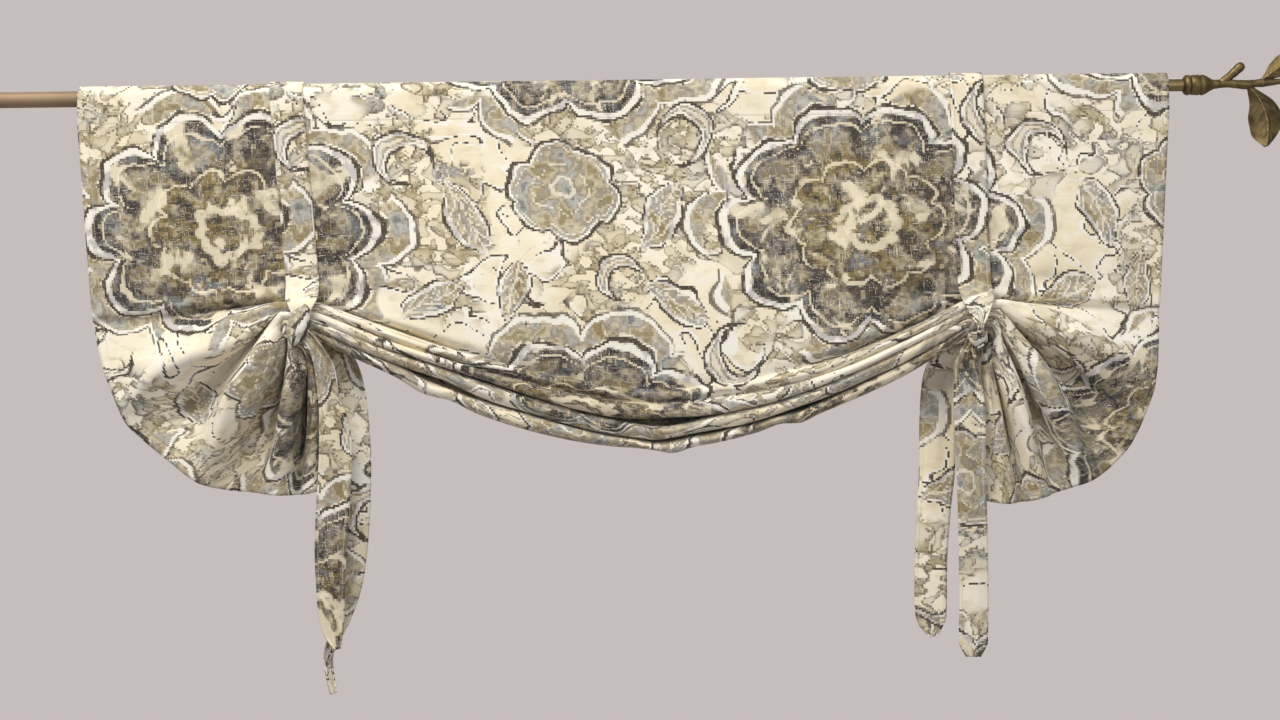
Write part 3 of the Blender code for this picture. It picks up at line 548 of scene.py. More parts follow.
def between_lines(number, along):
    """The line that lies part of the way from one line to the next."""
    upper, lower = LINES[number], LINES[number + 1]
    mixed = [lerp(a, b, along) for a, b in zip(upper[1:], lower[1:])]
    return Line(upper.name, *mixed)


def line_gaps(x):
    """Half the gap at each line between the rolls, as a share of a roll's height."""
    gaps = [CLOSED_GAP] * len(LINES)
    for parting in PARTINGS:
        gaps[parting.line] += parting.size * math.exp(-((x - parting.x) / parting.half_length) ** 2)
    return gaps


def tuck_fills(x, gaps):
    """How far forward the cloth lies in each line between the rolls: deep where they part."""
    fills = []
    for number, gap in enumerate(gaps):
        soft = SHALLOW_TUCK + ripple(TUCK_CHANGE, x, number)
        sunk = soft - PARTED_TUCK_LOSS * (gap - CLOSED_GAP)
        fills.append(min(max(sunk, 0.0), SHALLOWEST_TUCK))
    return fills


def kinked(x, line):
    """How far down and forward the kinks push the cloth here."""
    down = forward = 0.0
    for kink in KINKS:
        size = math.exp(-((x - kink.x) / kink.half_length) ** 2
                        - ((line.knot_drop - kink.knot_drop) / KINK_DEPTH) ** 2)
        down += kink.down * size
        forward += kink.forward * size
    return down, forward


def fold_rows(place, noses, opens, gaps, fills, inner_tuck=0.0):
    """Rows of all folds. inner_tuck turns the last fold's lower side back behind the tie."""
    rows = []
    last = len(noses) - 1
    for number, (nose, spread) in enumerate(zip(noses, opens)):
        section = SECTION + ((HEM,) if number == last else ())
        for row in section:
            tight, tight_forward = 0.0, row.tight_forward
            if row.tight_along is not None:
                tight = lerp(gaps[number], 1.0 - gaps[number + 1], row.tight_along)
            elif number > 0:
                tight_forward = fills[number]
            along = lerp(tight, row.soft_along, spread)
            forward = lerp(tight_forward, row.soft_forward, spread)
            if number == last and along > 0.5:
                forward *= 1.0 - inner_tuck
            point = place(between_lines(number, along))
            point.y = lerp(point.y, nose, forward)
            rows.append(point)
    return rows


def soft_wave(x):
    """Slight fullness of the cloth between and outside the ties."""
    nearest = min(abs(x - tie.knot_x) for tie in (LEFT_TIE, RIGHT_TIE))
    swing = 0.5 + 0.5 * math.sin(2 * math.pi * x / WAVE_LENGTH + WAVE_PHASE)
    return WAVE_DEPTH * swing * ease((nearest - CLEAR_OF_TIE) / BULGE_RUN)


def column_steps(pocket, upper, folds):
    """How many steps of the fine sheet lie between the rows of a column."""
    return ([POCKET_STEPS] * (pocket - 1) + [UPPER_STEPS] * (upper + 1) + [FOLD_STEPS] * (folds - 1))


def column(top_x, place, noses, opens, shoulder_y, gaps, fills, inner_tuck=0.0):
    """All rows of one column, from the turned-in end of the pocket down to the hem."""
    pocket = [Vector((top_x, y, z)) for y, z in pocket_rows()]
    seam, first_line = pocket[-1], place(LINES[0])
    upper = []
    for share in UPPER_SHARES:
        point = seam.lerp(first_line, share)
        point.y = lerp(PANEL_Y, shoulder_y, ease(share))
        point.y -= soft_wave(top_x) * math.sin(math.pi * min(share / WAVE_END, 1.0))
        upper.append(point)
    folds = fold_rows(place, noses, opens, gaps, fills, inner_tuck)
    return through_points([tuple(p) for p in pocket + upper + folds],
                          column_steps(len(pocket), len(upper), len(folds)))


PANEL_SEAM_ROW = POCKET_STEPS * (len(pocket_rows()) - 1)
PANEL_TUCK_ROW = PANEL_SEAM_ROW + UPPER_STEPS * (len(UPPER_SHARES) + 1)


def rounded_power(share, power):
    """share to a power, from 0 to 1, with a round bottom in place of a corner at 0."""
    def height(value):
        return (value * value + SWAG_ROUNDING ** 2) ** (power / 2)
    return (height(share) - height(0.0)) / (height(1.0) - height(0.0))


def sag(share, line):
    """How far down a line has come, from 0 at either tie to 1 at the swag's lowest point."""
    if share < SWAG_LOW:
        return 1.0 - rounded_power((SWAG_LOW - share) / SWAG_LOW, line.left_curve)
    return 1.0 - rounded_power((share - SWAG_LOW) / (1.0 - SWAG_LOW), line.right_curve)


def swag_column(share):
    left_x = LEFT_TIE.knot_x + PINCH_HALF
    right_x = RIGHT_TIE.knot_x - PINCH_HALF
    x = lerp(left_x, right_x, share)
    top_x = lerp(LEFT_TIE.top_x + PINCH_HALF, RIGHT_TIE.top_x - PINCH_HALF, share)
    from_tie = min(x - left_x, right_x - x)
    opened = ease(from_tie / OPENING_RUN)
    trough_opened = ease(from_tie / SOFT_TROUGH_RUN)
    stack_top = lerp(LEFT_TIE.stack_top, RIGHT_TIE.stack_top, share)

    def place(line):
        drop = lerp(stack_top + line.knot_drop, line.mid_drop, sag(share, line))
        drop += SWAG_WOBBLE * opened * math.sin(3 * math.pi * share + line.wander)
        drop += opened * ripple(LINE_RIPPLE, x, line.wander)
        down, forward = kinked(x, line)
        # The soft trough above the rolls opens over a longer run than they do
        spread = trough_opened if line.knot_drop == LINES[0].knot_drop else opened
        return Vector((x, lerp(STACK_TUCK_Y, line.mid_y, spread) - forward, -drop - down))

    noses = [lerp(STACK_NOSE_Y, fold.mid_nose, opened) for fold in FOLDS]
    noses = [nose + opened * ripple(NOSE_RIPPLE, x, number) for number, nose in enumerate(noses)]
    opens = [fold.mid_open * opened for fold in FOLDS]
    bulge = ease((from_tie + PINCH_HALF - CLEAR_OF_TIE) / (2 * BULGE_RUN))
    shoulder_y = lerp(PANEL_Y, SWAG_SHOULDER_Y, bulge)
    gaps = line_gaps(x)
    return column(top_x, place, noses, opens, shoulder_y, gaps, tuck_fills(x, gaps)), top_x


def through(start, middle, end, share):
    """Eases from start over middle to end."""
    if share < FAN_MIDDLE:
        return lerp(start, middle, ease(share / FAN_MIDDLE))
    return lerp(middle, end, ease((share - FAN_MIDDLE) / (1.0 - FAN_MIDDLE)))


def fan_column(tie, share):
    outline = SMOOTH_OUTLINES[tie.side]
    knot_x = tie.knot_x + tie.outward * PINCH_HALF
    top_x = lerp(tie.top_x + tie.outward * PINCH_HALF, tie.edge_top_x, share)
    past_tie = max(0.0, share - FAN_INNER_START) / (1.0 - FAN_INNER_START)
    inner_bow = tie.inner_bow * math.sin(math.pi * past_tie ** FAN_INNER_CURVE)

    def place(line):
        slant = FAN_SLANT * (1.0 - line.knot_drop / LINES[-1].knot_drop)
        knot = Vector((knot_x + tie.outward * slant, 0.0, -(tie.stack_top + line.knot_drop)))
        edge_share = line.left_edge if tie is LEFT_TIE else line.right_edge
        edge_x, edge_z = along_outline(outline, edge_share)
        point = knot.lerp(Vector((edge_x, 0.0, edge_z)), share)
        bow = tie.fan_bow * 4 * edge_share * (1.0 - edge_share) * math.sin(math.pi * share)
        point.x += tie.outward * (bow - inner_bow * edge_share ** FAN_INNER_FALL)
        point.y = through(STACK_TUCK_Y, line.fan_y, line.edge_y, share)
        return point

    noses = [through(STACK_NOSE_Y, fold.fan_nose, fold.edge_nose, share) for fold in FOLDS]
    opens = [fold.fan_open * ease(share / FAN_OPEN_BY) for fold in FOLDS]
    from_tie = abs(place(LINES[0]).x - tie.knot_x)
    bulge = ease((from_tie - CLEAR_OF_TIE) / BULGE_RUN) * (1.0 - FAN_EDGE_BULGE_LOSS * share)
    shoulder_y = lerp(PANEL_Y, FAN_SHOULDER_Y, bulge)
    gaps = [CLOSED_GAP] * len(LINES)
    return column(top_x, place, noses, opens, shoulder_y, gaps, [0.0] * len(LINES),
                  INNER_TUCK * inner_bow / tie.inner_bow), top_x


def fan_edges(side):
    """Where each row of the fine sheet ends on the fan's outline, as a share of its length."""
    pocket = [-1.0] * len(pocket_rows())
    upper = [share - 1.0 for share in UPPER_SHARES]
    folds = []
    for number in range(len(FOLDS)):
        section = SECTION + ((HEM,) if number == len(FOLDS) - 1 else ())
        folds += [getattr(between_lines(number, row.soft_along), side + "_edge") for row in section]
    rows = np.array(pocket + upper + folds)[:, None]
    return through_points(rows, column_steps(len(pocket), len(upper), len(folds)))[:, 0]


def press_fan_creases(points, fan_share):
    """Presses the listed creases that run out from the ties into the fans."""
    normals = grid_normals(points)
    middle = points[PANEL_SEAM_ROW, :, 0]
    for tie in (LEFT_TIE, RIGHT_TIE):
        columns = np.nonzero((fan_share > 0.0) & (middle * tie.outward > 0.0))[0]
        share = fan_share[columns][None, :]
        edges = fan_edges(tie.side)[:, None]
        total = 0.0
        for crease in FAN_CREASES:
            if crease.side != tie.side:
                continue
            hold = (ease_each(share / FAN_CREASE_START)
                    * ease_each((crease.reach - share) / FAN_CREASE_FADE))
            bend = FAN_CREASE_BEND * np.sin(share * FAN_CREASE_SWINGS
                                            + crease.edge * FAN_CREASE_SHIFT)
            aside = (edges - crease.edge - bend) / crease.half_width
            total = total + crease.depth * hold * np.exp(-aside ** 2)
        total[:PANEL_SEAM_ROW + 2] = 0.0
        points[:, columns] -= normals[:, columns] * total[:, :, None]


def panel_columns():
    """Places of all rows and columns, and each column's flat x and its share of its fan."""
    fan_shares = [lerp(even, ease(even), FAN_CROWDING)
                  for even in np.linspace(0.0, 1.0, FAN_COLUMNS + 1)]
    swag_shares = [lerp(even, 0.5 - 0.5 * math.cos(math.pi * even), 0.5)
                   for even in np.linspace(0.0, 1.0, SWAG_COLUMNS + 1)]
    made = [(fan_column(LEFT_TIE, share), share) for share in reversed(fan_shares)]
    made += [(swag_column(share), 0.0) for share in swag_shares]
    made += [(fan_column(RIGHT_TIE, share), share) for share in fan_shares]
    points = np.array([rows for (rows, top_x), share in made]).transpose(1, 0, 2)
    top_xs = np.array([top_x for (rows, top_x), share in made])
    fan_share = np.array([share for drawn_column, share in made])
    return points, top_xs, fan_share


def flat_measures(points, top_xs):
    """Flat place of each point: x along the pocket, and the length down the cloth from it."""
    steps = np.linalg.norm(np.diff(points, axis=0), axis=2)
    run = np.concatenate((np.zeros((1, len(top_xs))), np.cumsum(steps, axis=0)))
    run -= run[PANEL_SEAM_ROW]
    tuck, hem = run[PANEL_TUCK_ROW], run[-1]
    below = run > tuck
    fitted = tuck + (run - tuck) * (FLAT_DROP - tuck) / (hem - tuck)
    down = np.where(below, fitted, run)
    across = np.broadcast_to(top_xs, down.shape)
    return np.stack((across, -down), axis=2)


def press_creases(points):
    """Presses the listed creases into the upper cloth."""
    upper = points[PANEL_SEAM_ROW:PANEL_TUCK_ROW + 1]
    x, z = upper[:, :, 0], upper[:, :, 2]
    rows = np.linspace(0.0, 1.0, len(upper))[:, None]
    hold = np.sin(np.pi * np.clip(rows, 0.0, 1.0)) ** UPPER_HOLD_CURVE
    clear = np.ones_like(x)
    for tie in (LEFT_TIE, RIGHT_TIE):
        strap_x = tie.top_x + (tie.knot_x - tie.top_x) * np.clip(-z / tie.stack_top, 0.0, 1.0)
        gap = (np.abs(x - strap_x) - TIE_HALF_WIDTH) / STRAP_MARGIN
        clear *= np.clip(gap, 0.0, 1.0) ** 2
    for crease in CREASES:
        ax, az = crease.x0, crease.z0
        run_x, run_z = crease.x1 - ax, crease.z1 - az
        length = math.hypot(run_x, run_z)
        along = ((x - ax) * run_x + (z - az) * run_z) / length ** 2
        aside = ((x - ax) * run_z - (z - az) * run_x) / length
        width = crease.half_width * lerp(*CREASE_WIDTHS, np.clip(along, 0.0, 1.0))
        fade = np.clip(along / CREASE_FADE_IN, 0.0, 1.0)
        fade *= np.clip((CREASE_REACH - along) / CREASE_FADE_OUT, 0.0, 1.0)
        upper[:, :, 1] += crease.depth * fade * np.exp(-(aside / width) ** 2) * clear
    for j in range(upper.shape[0]):
        for i in range(upper.shape[1]):
            soft = sum(ripple(kind, x[j, i], z[j, i]) for kind in UPPER_RIPPLES)
            upper[j, i, 1] -= (soft + UPPER_SLACK) * clear[j, i] * hold[j, 0]


def add_wrinkles(points, flat, fan_share):
    """Fine wrinkles along the rolls of the swag and out from the ties in the fans."""
    normals = grid_normals(points)
    first_row = PANEL_TUCK_ROW - WRINKLE_ROWS_ABOVE
    for j in range(first_row, points.shape[0]):
        start = ease((j - first_row) / (2 * WRINKLE_ROWS_ABOVE))
        for i in range(points.shape[1]):
            down, x = flat[j, i, 1], points[j, i, 0]
            share = fan_share[i]
            if share > 0.0:
                near_tie = math.exp(-((share - NEAR_FAN_SHARE) / NEAR_FAN_HALF) ** 2)
                size = near_tie * ripple(NEAR_FAN_RIPPLE, down, share)
                size += share * ripple(OUTER_FAN_RIPPLE, down, share)
            else:
                from_tie = min(x - LEFT_TIE.knot_x, RIGHT_TIE.knot_x - x)
                near_tie = math.exp(-(from_tie / NEAR_SWAG_RUN) ** 2)
                size = ripple(SWAG_RIPPLE, down, x) + near_tie * ripple(NEAR_SWAG_RIPPLE, down, x)
            points[j, i] += normals[j, i] * size * start


def make_panel(finishes):
    points, top_xs, fan_share = panel_columns()
    flat = flat_measures(points, top_xs)
    press_creases(points)
    press_fan_creases(points, fan_share)
    add_wrinkles(points, flat, fan_share)
    across, up = flat[:, :, 0], flat[:, :, 1]
    inside = np.minimum.reduce((across - LEFT_TIE.edge_top_x - SIDE_HEM,
                                RIGHT_TIE.edge_top_x - SIDE_HEM - across,
                                -up,
                                FLAT_DROP - BOTTOM_HEM + up))
    panel = drape_grid("valance-panel", points, flat, inside, finishes)
    thicken(panel, CLOTH, back_finish=True)
    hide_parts("panel")
    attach(panel, "root")
    return panel


# Ties

def tail_fold(across, length):
    """Height of the fold down a free end."""
    place, half_width, height, reach = TAIL_FOLD
    drift = TAIL_FOLD_DRIFT * math.sin(length * TAIL_FOLD_SWINGS)
    rounded = math.exp(-((across - place - drift) / half_width) ** 2)
    return height * rounded * ease(1.0 - length / reach)


def strip_directions(place, turn, closed):
    """Directions across a strip and off its face, all the way along it."""
    along = np.gradient(place, axis=0)
    if closed:
        along[0] = along[-1] = place[1] - place[-2]
    along /= np.linalg.norm(along, axis=1, keepdims=True)
    width = np.stack((np.cos(turn), np.sin(turn), np.zeros_like(turn)), axis=1)
    width -= along * np.sum(along * width, axis=1, keepdims=True)
    width /= np.linalg.norm(width, axis=1, keepdims=True)
    return width, np.cross(width, along)


def strip_lift(run, across, squeeze, cut_x, curl_base, closed):
    """How far a strip stands off its middle plane: pleats where it is squeezed, curl and ripples."""
    lift = STRIP_PLEAT_HEIGHT * squeeze[:, None] * np.cos(STRIP_PLEATS * np.pi * across[None, :])
    aside, down = STRIP_RIPPLE_RATES
    for j, length in enumerate(run):
        curl = (1.0 - squeeze[j]) * (ripple(STRIP_CURL, cut_x, length) + curl_base)
        for i, s in enumerate(across):
            lift[j, i] += curl * (s * s - STRIP_CURL_REST)
            lift[j, i] += STRIP_RIPPLE * wobble(s * aside + cut_x, length * down, 5.0)
            if not closed:
                lift[j, i] += tail_fold(s, length)
    if closed:
        closing = (run / run[-1])[:, None] ** STRIP_JOIN_POWER
        lift = lift * (1.0 - closing) + lift[0] * closing
    return lift


def strip(name, rows, cut_at, finish, curl_base=0.0, closed=False):
    """A sewn strip of cloth along rows of place, half width and turn, pleated where it narrows."""
    rows = np.array(rows, dtype=float)
    if closed:
        rows = np.concatenate((rows, rows[:1]))
    rows = through_points(rows, STRIP_STEPS)
    place, half_width = rows[:, :3], np.maximum(rows[:, 3], STRIP_LEAST_HALF)
    width, face = strip_directions(place, rows[:, 4], closed)
    run = np.concatenate(([0.0], np.cumsum(np.linalg.norm(np.diff(place, axis=0), axis=1))))
    across = np.linspace(-1.0, 1.0, STRIP_COLUMNS + 1)
    squeeze = 1.0 - half_width / TIE_HALF_WIDTH
    points = place[:, None] + width[:, None] * (across[None, :, None] * half_width[:, None, None])
    lift = strip_lift(run, across, squeeze, cut_at[0], curl_base, closed)
    points = points + face[:, None] * lift[:, :, None]
    down, aside = np.meshgrid(run, across, indexing="ij")
    flat = np.stack((cut_at[0] + aside * TIE_HALF_WIDTH, cut_at[1] - down), axis=2)
    inside = TIE_HALF_WIDTH - TIE_HEM - np.abs(aside) * TIE_HALF_WIDTH
    made = drape_grid(name, points, flat, inside, [finish])
    thicken(made, TIE_CLOTH)
    return made, float(run[-1])


def strap_rows(tie):
    """Once round: over the rod pocket, down the front, under the gathered stack, up the back."""
    lower = tie.stack_top - LEFT_TIE.stack_top
    sleeve = pocket_arc(POCKET_R + SOLID_CLOTH / 2 + SEAT_GAP + SOLID_TIE_CLOTH / 2)
    rows = [(y, z, TIE_HALF_WIDTH) for y, z in sleeve]
    rows += FRONT_STRAP
    wrap = (LEFT_WRAP if tie is LEFT_TIE else RIGHT_WRAP) + UNDER_STACK
    rows += [(y, z - lower, half_width) for y, z, half_width in wrap]
    rows += BACK_STRAP
    rows += [(-y, z, TIE_HALF_WIDTH) for y, z in reversed(sleeve[1:])]
    made = []
    for y, z, half_width in rows:
        x = lerp(tie.top_x, tie.knot_x, min(max(-z / tie.stack_top, 0.0), 1.0))
        made.append((x, y, z, half_width, 0.0))
    return made


def make_knot(tie, shape, cut_at, finish):
    """The small tight knot: a slim lump of wrapped cloth, its folds running round and down."""
    bpy.ops.object.select_all(action="DESELECT")
    bpy.ops.mesh.primitive_uv_sphere_add(segments=KNOT_SEGMENTS, ring_count=KNOT_RINGS, radius=1.0)
    made = bpy.context.object
    made.name = f"tie-{tie.side}-knot"
    size = Vector((shape.half_width, KNOT_HALF_DEPTH, shape.half_height))
    turn = Matrix.Rotation(shape.lean, 3, "Y")
    place = Vector((shape.x, KNOT_Y, -(tie.stack_top + shape.drop)))
    flat_map = made.data.uv_layers.active
    flat_map.name = FLAT_MAP
    for loop, corner in zip(flat_map.data, made.data.loops):
        co = made.data.vertices[corner.vertex_index].co
        loop.uv = (cut_at[0] + math.atan2(co.x, -co.y) * shape.half_width,
                   cut_at[1] + co.z * shape.half_height)
    wrap_depth, wrap_height, wrap_half = KNOT_WRAP
    for vertex in made.data.vertices:
        co = vertex.co.copy()
        angle = math.atan2(co.x, -co.y)
        round_body = 1.0 - co.z ** 2
        pleat = abs(math.sin(KNOT_PLEATS * angle + KNOT_TWIST * co.z))
        lift = KNOT_PLEAT_LIFT * (pleat ** KNOT_PLEAT_ROUNDNESS - KNOT_PLEAT_REST) * round_body
        lift += KNOT_LUMPS * wobble(*(c * rate for c, rate in zip(co, KNOT_LUMP_RATES)))
        lift -= wrap_depth * math.exp(-((co.z - wrap_height) / wrap_half) ** 2) * round_body
        scaled = Vector((co.x * (1.0 + lift), co.y * (1.0 + lift), co.z)) * size
        vertex.co = place + turn @ scaled
    stitch_map = made.data.attributes.new(STITCH_MAP, "FLOAT", "POINT")
    stitch_map.data.foreach_set("value", [TIE_HALF_WIDTH] * len(made.data.vertices))
    made.data.materials.append(finish)
    made.data.shade_smooth()
    return made


def make_tie(tie, knot_shape, front_tail, back_tail, cuts, finish):
    node = f"tie_{tie.side}"
    strap, strap_length = strip(f"tie-{tie.side}-strap", strap_rows(tie), cuts.strap, finish,
                                closed=True)
    front, front_length = strip(f"tie-{tie.side}-front-end", front_tail, cuts.front, finish,
                                TAIL_CURL)
    back, back_length = strip(f"tie-{tie.side}-back-end", back_tail, cuts.back, finish, TAIL_CURL)
    knot = make_knot(tie, knot_shape, cuts.knot, finish)
    for piece in (strap, front, back, knot):
        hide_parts(node)
        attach(piece, "root")


# Finial

def turned(name, rows, finish):
    """A closed turned piece about the rod's axis: a disc drawn out and resized row by row."""
    bpy.ops.object.select_all(action="DESELECT")
    start_x, start_r = rows[0]
    bpy.ops.mesh.primitive_circle_add(vertices=COLLAR_SEGMENTS, radius=start_r, fill_type="NGON",
                                      location=(start_x, 0.0, 0.0),
                                      rotation=(0.0, math.pi / 2, 0.0))
    made = bpy.context.object
    made.name = name
    bpy.ops.object.transform_apply(location=True, rotation=True, scale=True)
    bpy.ops.object.mode_set(mode="EDIT")
    bpy.ops.mesh.select_all(action="SELECT")
    x, r = start_x, start_r
    for next_x, next_r in rows[1:]:
        bpy.ops.mesh.extrude_region_move(TRANSFORM_OT_translate={"value": (next_x - x, 0.0, 0.0)})
        bpy.ops.transform.resize(value=(1.0, next_r / r, next_r / r))
        x, r = next_x, next_r
    bpy.ops.mesh.select_all(action="SELECT")
    bpy.ops.mesh.normals_make_consistent(inside=False)
    bpy.ops.object.mode_set(mode="OBJECT")
    made.data.materials.append(finish)
    made.data.shade_smooth()
    made.data.set_sharp_from_angle(angle=COLLAR_SHARP)
    return made


def twig(name, rows, finish):
    """A knobbly round stem through rows of x, y, z and radius, with closed ends."""
    curve = bpy.data.curves.new(name, "CURVE")
    curve.dimensions = "3D"
    curve.bevel_depth = 1.0
    curve.bevel_resolution = TWIG_ROUNDNESS
    curve.use_fill_caps = True
    spline = curve.splines.new("POLY")
    path = through_points(rows, TWIG_STEPS)
    spline.points.add(len(path) - 1)
    for number, (point, (x, y, z, radius)) in enumerate(zip(spline.points, path)):
        knobs = 1.0 + ripple(STEM_KNOBS, x, z) + ripple(STEP_KNOBS, number, 1.0)
        point.co = (x, y, z, 1.0)
        point.radius = radius * knobs
    made = bpy.data.objects.new(name, curve)
    bpy.context.collection.objects.link(made)
    select_only(made)
    bpy.ops.object.convert(target="MESH")
    made = bpy.context.object
    made.data.materials.append(finish)
    made.data.shade_smooth()
    made.data.set_sharp_from_angle(angle=TWIG_SHARP)
    return made


def leaf_blade(name, shape, finish):
    """A cast leaf, fullest past its middle: a cut grid folded along its midrib, with raised veins."""
    bpy.ops.object.select_all(action="DESELECT")
    bpy.ops.mesh.primitive_grid_add(x_subdivisions=BLADE_LENGTHS, y_subdivisions=BLADE_WIDTHS,
                                    size=2.0)
    made = bpy.context.object
    made.name = name
    root, tip = Vector(shape.root), Vector(shape.tip)
    length = (tip - root).length
    along = (tip - root).normalized()
    facing = Vector((0.0, math.cos(shape.lean), math.sin(shape.lean)))
    side = along.cross(facing).normalized()
    up = side.cross(along)
    for vertex in made.data.vertices:
        share, s = (vertex.co.x + 1.0) / 2, vertex.co.y
        blade_share = lerp(LEAF_ROOT_SHARE, LEAF_TIP_SHARE, share) ** LEAF_FULLEST
        half = shape.half_width * math.sin(math.pi * blade_share) ** LEAF_FULLNESS
        half *= 1.0 + LEAF_EDGE_WAVE * math.sin(share * LEAF_EDGE_SWINGS + LEAF_EDGE_SHIFT * s)
        vein_phase = share * VEINS - VEIN_SLANT * abs(s)
        vein = max(0.0, 1.0 - abs(vein_phase - round(vein_phase)) / VEIN_HALF_WIDTH)
        midrib = max(0.0, 1.0 - abs(s) / MIDRIB_HALF_WIDTH)
        height = LEAF_CUP * half * abs(s) ** LEAF_CUP_CURVE - LEAF_DROOP * length * share ** 2
        height -= VEIN_HEIGHT * vein * (1.0 - s * s) + MIDRIB_HEIGHT * midrib
        shift = LEAF_CURL_SHIFT if s > 0 else 0.0
        height += LEAF_CURL * s * s * math.sin(share * LEAF_CURL_SWINGS + shift)
        middle = root.lerp(tip, share) + side * shape.bow * 4 * share * (1.0 - share)
        vertex.co = middle + side * half * s + up * height
    made.data.materials.append(finish)
    made.data.shade_smooth()
    thicken(made, LEAF_THICKNESS)
    return made


def make_finial(bronze):
    """Leafy bronze end of the rod: a banded collar, a twig with a cut stub, and two leaves."""
    pieces = [turned("finial-collar", COLLAR, bronze),
              twig("finial-twig", STEM, bronze),
              twig("finial-stub", STUB, bronze),
              leaf_blade("finial-hanging-leaf", HANGING_LEAF, bronze),
              leaf_blade("finial-rising-leaf", RISING_LEAF, bronze)]
    for piece in pieces:
        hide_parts("finial")
        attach(piece, "root")


# Shader building

def wire(tree, socket, value):
    if isinstance(value, bpy.types.NodeSocket):
        tree.links.new(value, socket)
    else:
        socket.default_value = value


def maths(tree, operation, *values, clamp=False):
    node = tree.nodes.new("ShaderNodeMath")
    node.operation = operation
    node.use_clamp = clamp
    for socket, value in zip(node.inputs, values):
        wire(tree, socket, value)
    return node.outputs[0]


def vector_maths(tree, operation, *values):
    node = tree.nodes.new("ShaderNodeVectorMath")
    node.operation = operation
    for socket, value in zip(node.inputs, values):
        wire(tree, socket, value)
    return node.outputs["Value" if operation in ("LENGTH", "DISTANCE") else "Vector"]


def grain(tree, place, scale, detail=2.0, roughness=0.5, distortion=0.0):
    node = tree.nodes.new("ShaderNodeTexNoise")
    wire(tree, node.inputs["Vector"], place)
    node.inputs["Scale"].default_value = scale
    node.inputs["Detail"].default_value = detail
    node.inputs["Roughness"].default_value = roughness
    node.inputs["Distortion"].default_value = distortion
    return node.outputs["Fac"]


def soft_swings(tree, place, amount, scale, detail):
    """Soft swings both ways over the cloth, of up to about half of amount."""
    node = tree.nodes.new("ShaderNodeTexNoise")
    wire(tree, node.inputs["Vector"], place)
    node.inputs["Scale"].default_value = scale
    node.inputs["Detail"].default_value = detail
    both_ways = moved(tree, node.outputs["Color"], (-0.5, -0.5, -0.5))
    return stretched(tree, both_ways, (amount, amount, 0.0))


def soft_step(tree, value, low, high, below, above):
    node = tree.nodes.new("ShaderNodeMapRange")
    node.interpolation_type = "SMOOTHSTEP"
    wire(tree, node.inputs["Value"], value)
    node.inputs["From Min"].default_value = low
    node.inputs["From Max"].default_value = high
    node.inputs["To Min"].default_value = below
    node.inputs["To Max"].default_value = above
    return node.outputs["Result"]


def rise(tree, value, low, high):
    """0 below low, 1 above high, smooth between."""
    return soft_step(tree, value, low, high, 0.0, 1.0)


def fall(tree, value, low, high):
    """1 below low, 0 above high, smooth between."""
    return soft_step(tree, value, low, high, 1.0, 0.0)


def near(tree, value, centre, half_width, soft=0.35):
    """1 where value is close to centre."""
    apart = maths(tree, "ABSOLUTE", maths(tree, "SUBTRACT", value, centre))
    return fall(tree, apart, half_width * (1.0 - soft), half_width)


def both(tree, *masks):
    mask = masks[0]
    for other in masks[1:]:
        mask = maths(tree, "MULTIPLY", mask, other)
    return mask


def lay(tree, below, above, mask, strength=1.0):
    """Colour above over colour below where mask is 1, thinner where strength is less."""
    if strength != 1.0:
        mask = maths(tree, "MULTIPLY", mask, strength)
    node = tree.nodes.new("ShaderNodeMix")
    node.data_type = "RGBA"
    wire(tree, node.inputs[0], mask)
    wire(tree, node.inputs[6], below)
    wire(tree, node.inputs[7], above)
    return node.outputs[2]


def moved(tree, place, by):
    return vector_maths(tree, "ADD", place, by)


def stretched(tree, place, by):
    return vector_maths(tree, "MULTIPLY", place, by)


def across_and_up(tree, place):
    node = tree.nodes.new("ShaderNodeSeparateXYZ")
    wire(tree, node.inputs[0], place)
    return node.outputs["X"], node.outputs["Y"]


def new_group(name, inputs, outputs):
    """A shader node group with named sockets, and its tree's inputs and outputs by name."""
    tree = bpy.data.node_groups.new(name, "ShaderNodeTree")
    kinds = {"vector": "NodeSocketVector", "value": "NodeSocketFloat", "colour": "NodeSocketColor"}
    for label, kind in inputs:
        tree.interface.new_socket(label, in_out="INPUT", socket_type=kinds[kind])
    for label, kind in outputs:
        tree.interface.new_socket(label, in_out="OUTPUT", socket_type=kinds[kind])
    start, end = tree.nodes.new("NodeGroupInput"), tree.nodes.new("NodeGroupOutput")
    return tree, start.outputs, end.inputs


def place_group(tree, group, **values):
    node = tree.nodes.new("ShaderNodeGroup")
    node.node_tree = group
    for label, value in values.items():
        wire(tree, node.inputs[label], value)
    return node.outputs


# Where a printed motif's body and its pale band end, and its inked edge as middle and half
# width. All are shares of the motif's reach.
Rings = namedtuple("Rings", "body_end band_end edge")
FLOWER_RINGS = Rings((0.938, 0.952), (0.990, 1.004), (1.012, 0.019))
LEAF_RINGS = Rings((0.76, 0.80), (0.98, 1.02), (1.07, 0.095))
HOOK_RINGS = Rings((0.88, 0.92), (0.98, 1.01), (1.042, 0.062))
# A printed flower's reach between its lobes and how much further its lobes reach
LOBE_GAP_REACH = 0.82
LOBE_REACH = 0.18
LOBE_ROUNDNESS = 0.7
MOTIF_MASKS = (("Body", "value"), ("Band", "value"), ("Edge", "value"), ("Marks", "value"))


def wire_rings(tree, out, share, rings):
    """A motif's body, the pale band round it and its inked edge, by the share of its reach."""
    wire(tree, out["Body"], fall(tree, share, *rings.body_end))
    band = both(tree, rise(tree, share, *rings.body_end), fall(tree, share, *rings.band_end))
    wire(tree, out["Band"], band)
    wire(tree, out["Edge"], near(tree, share, *rings.edge))


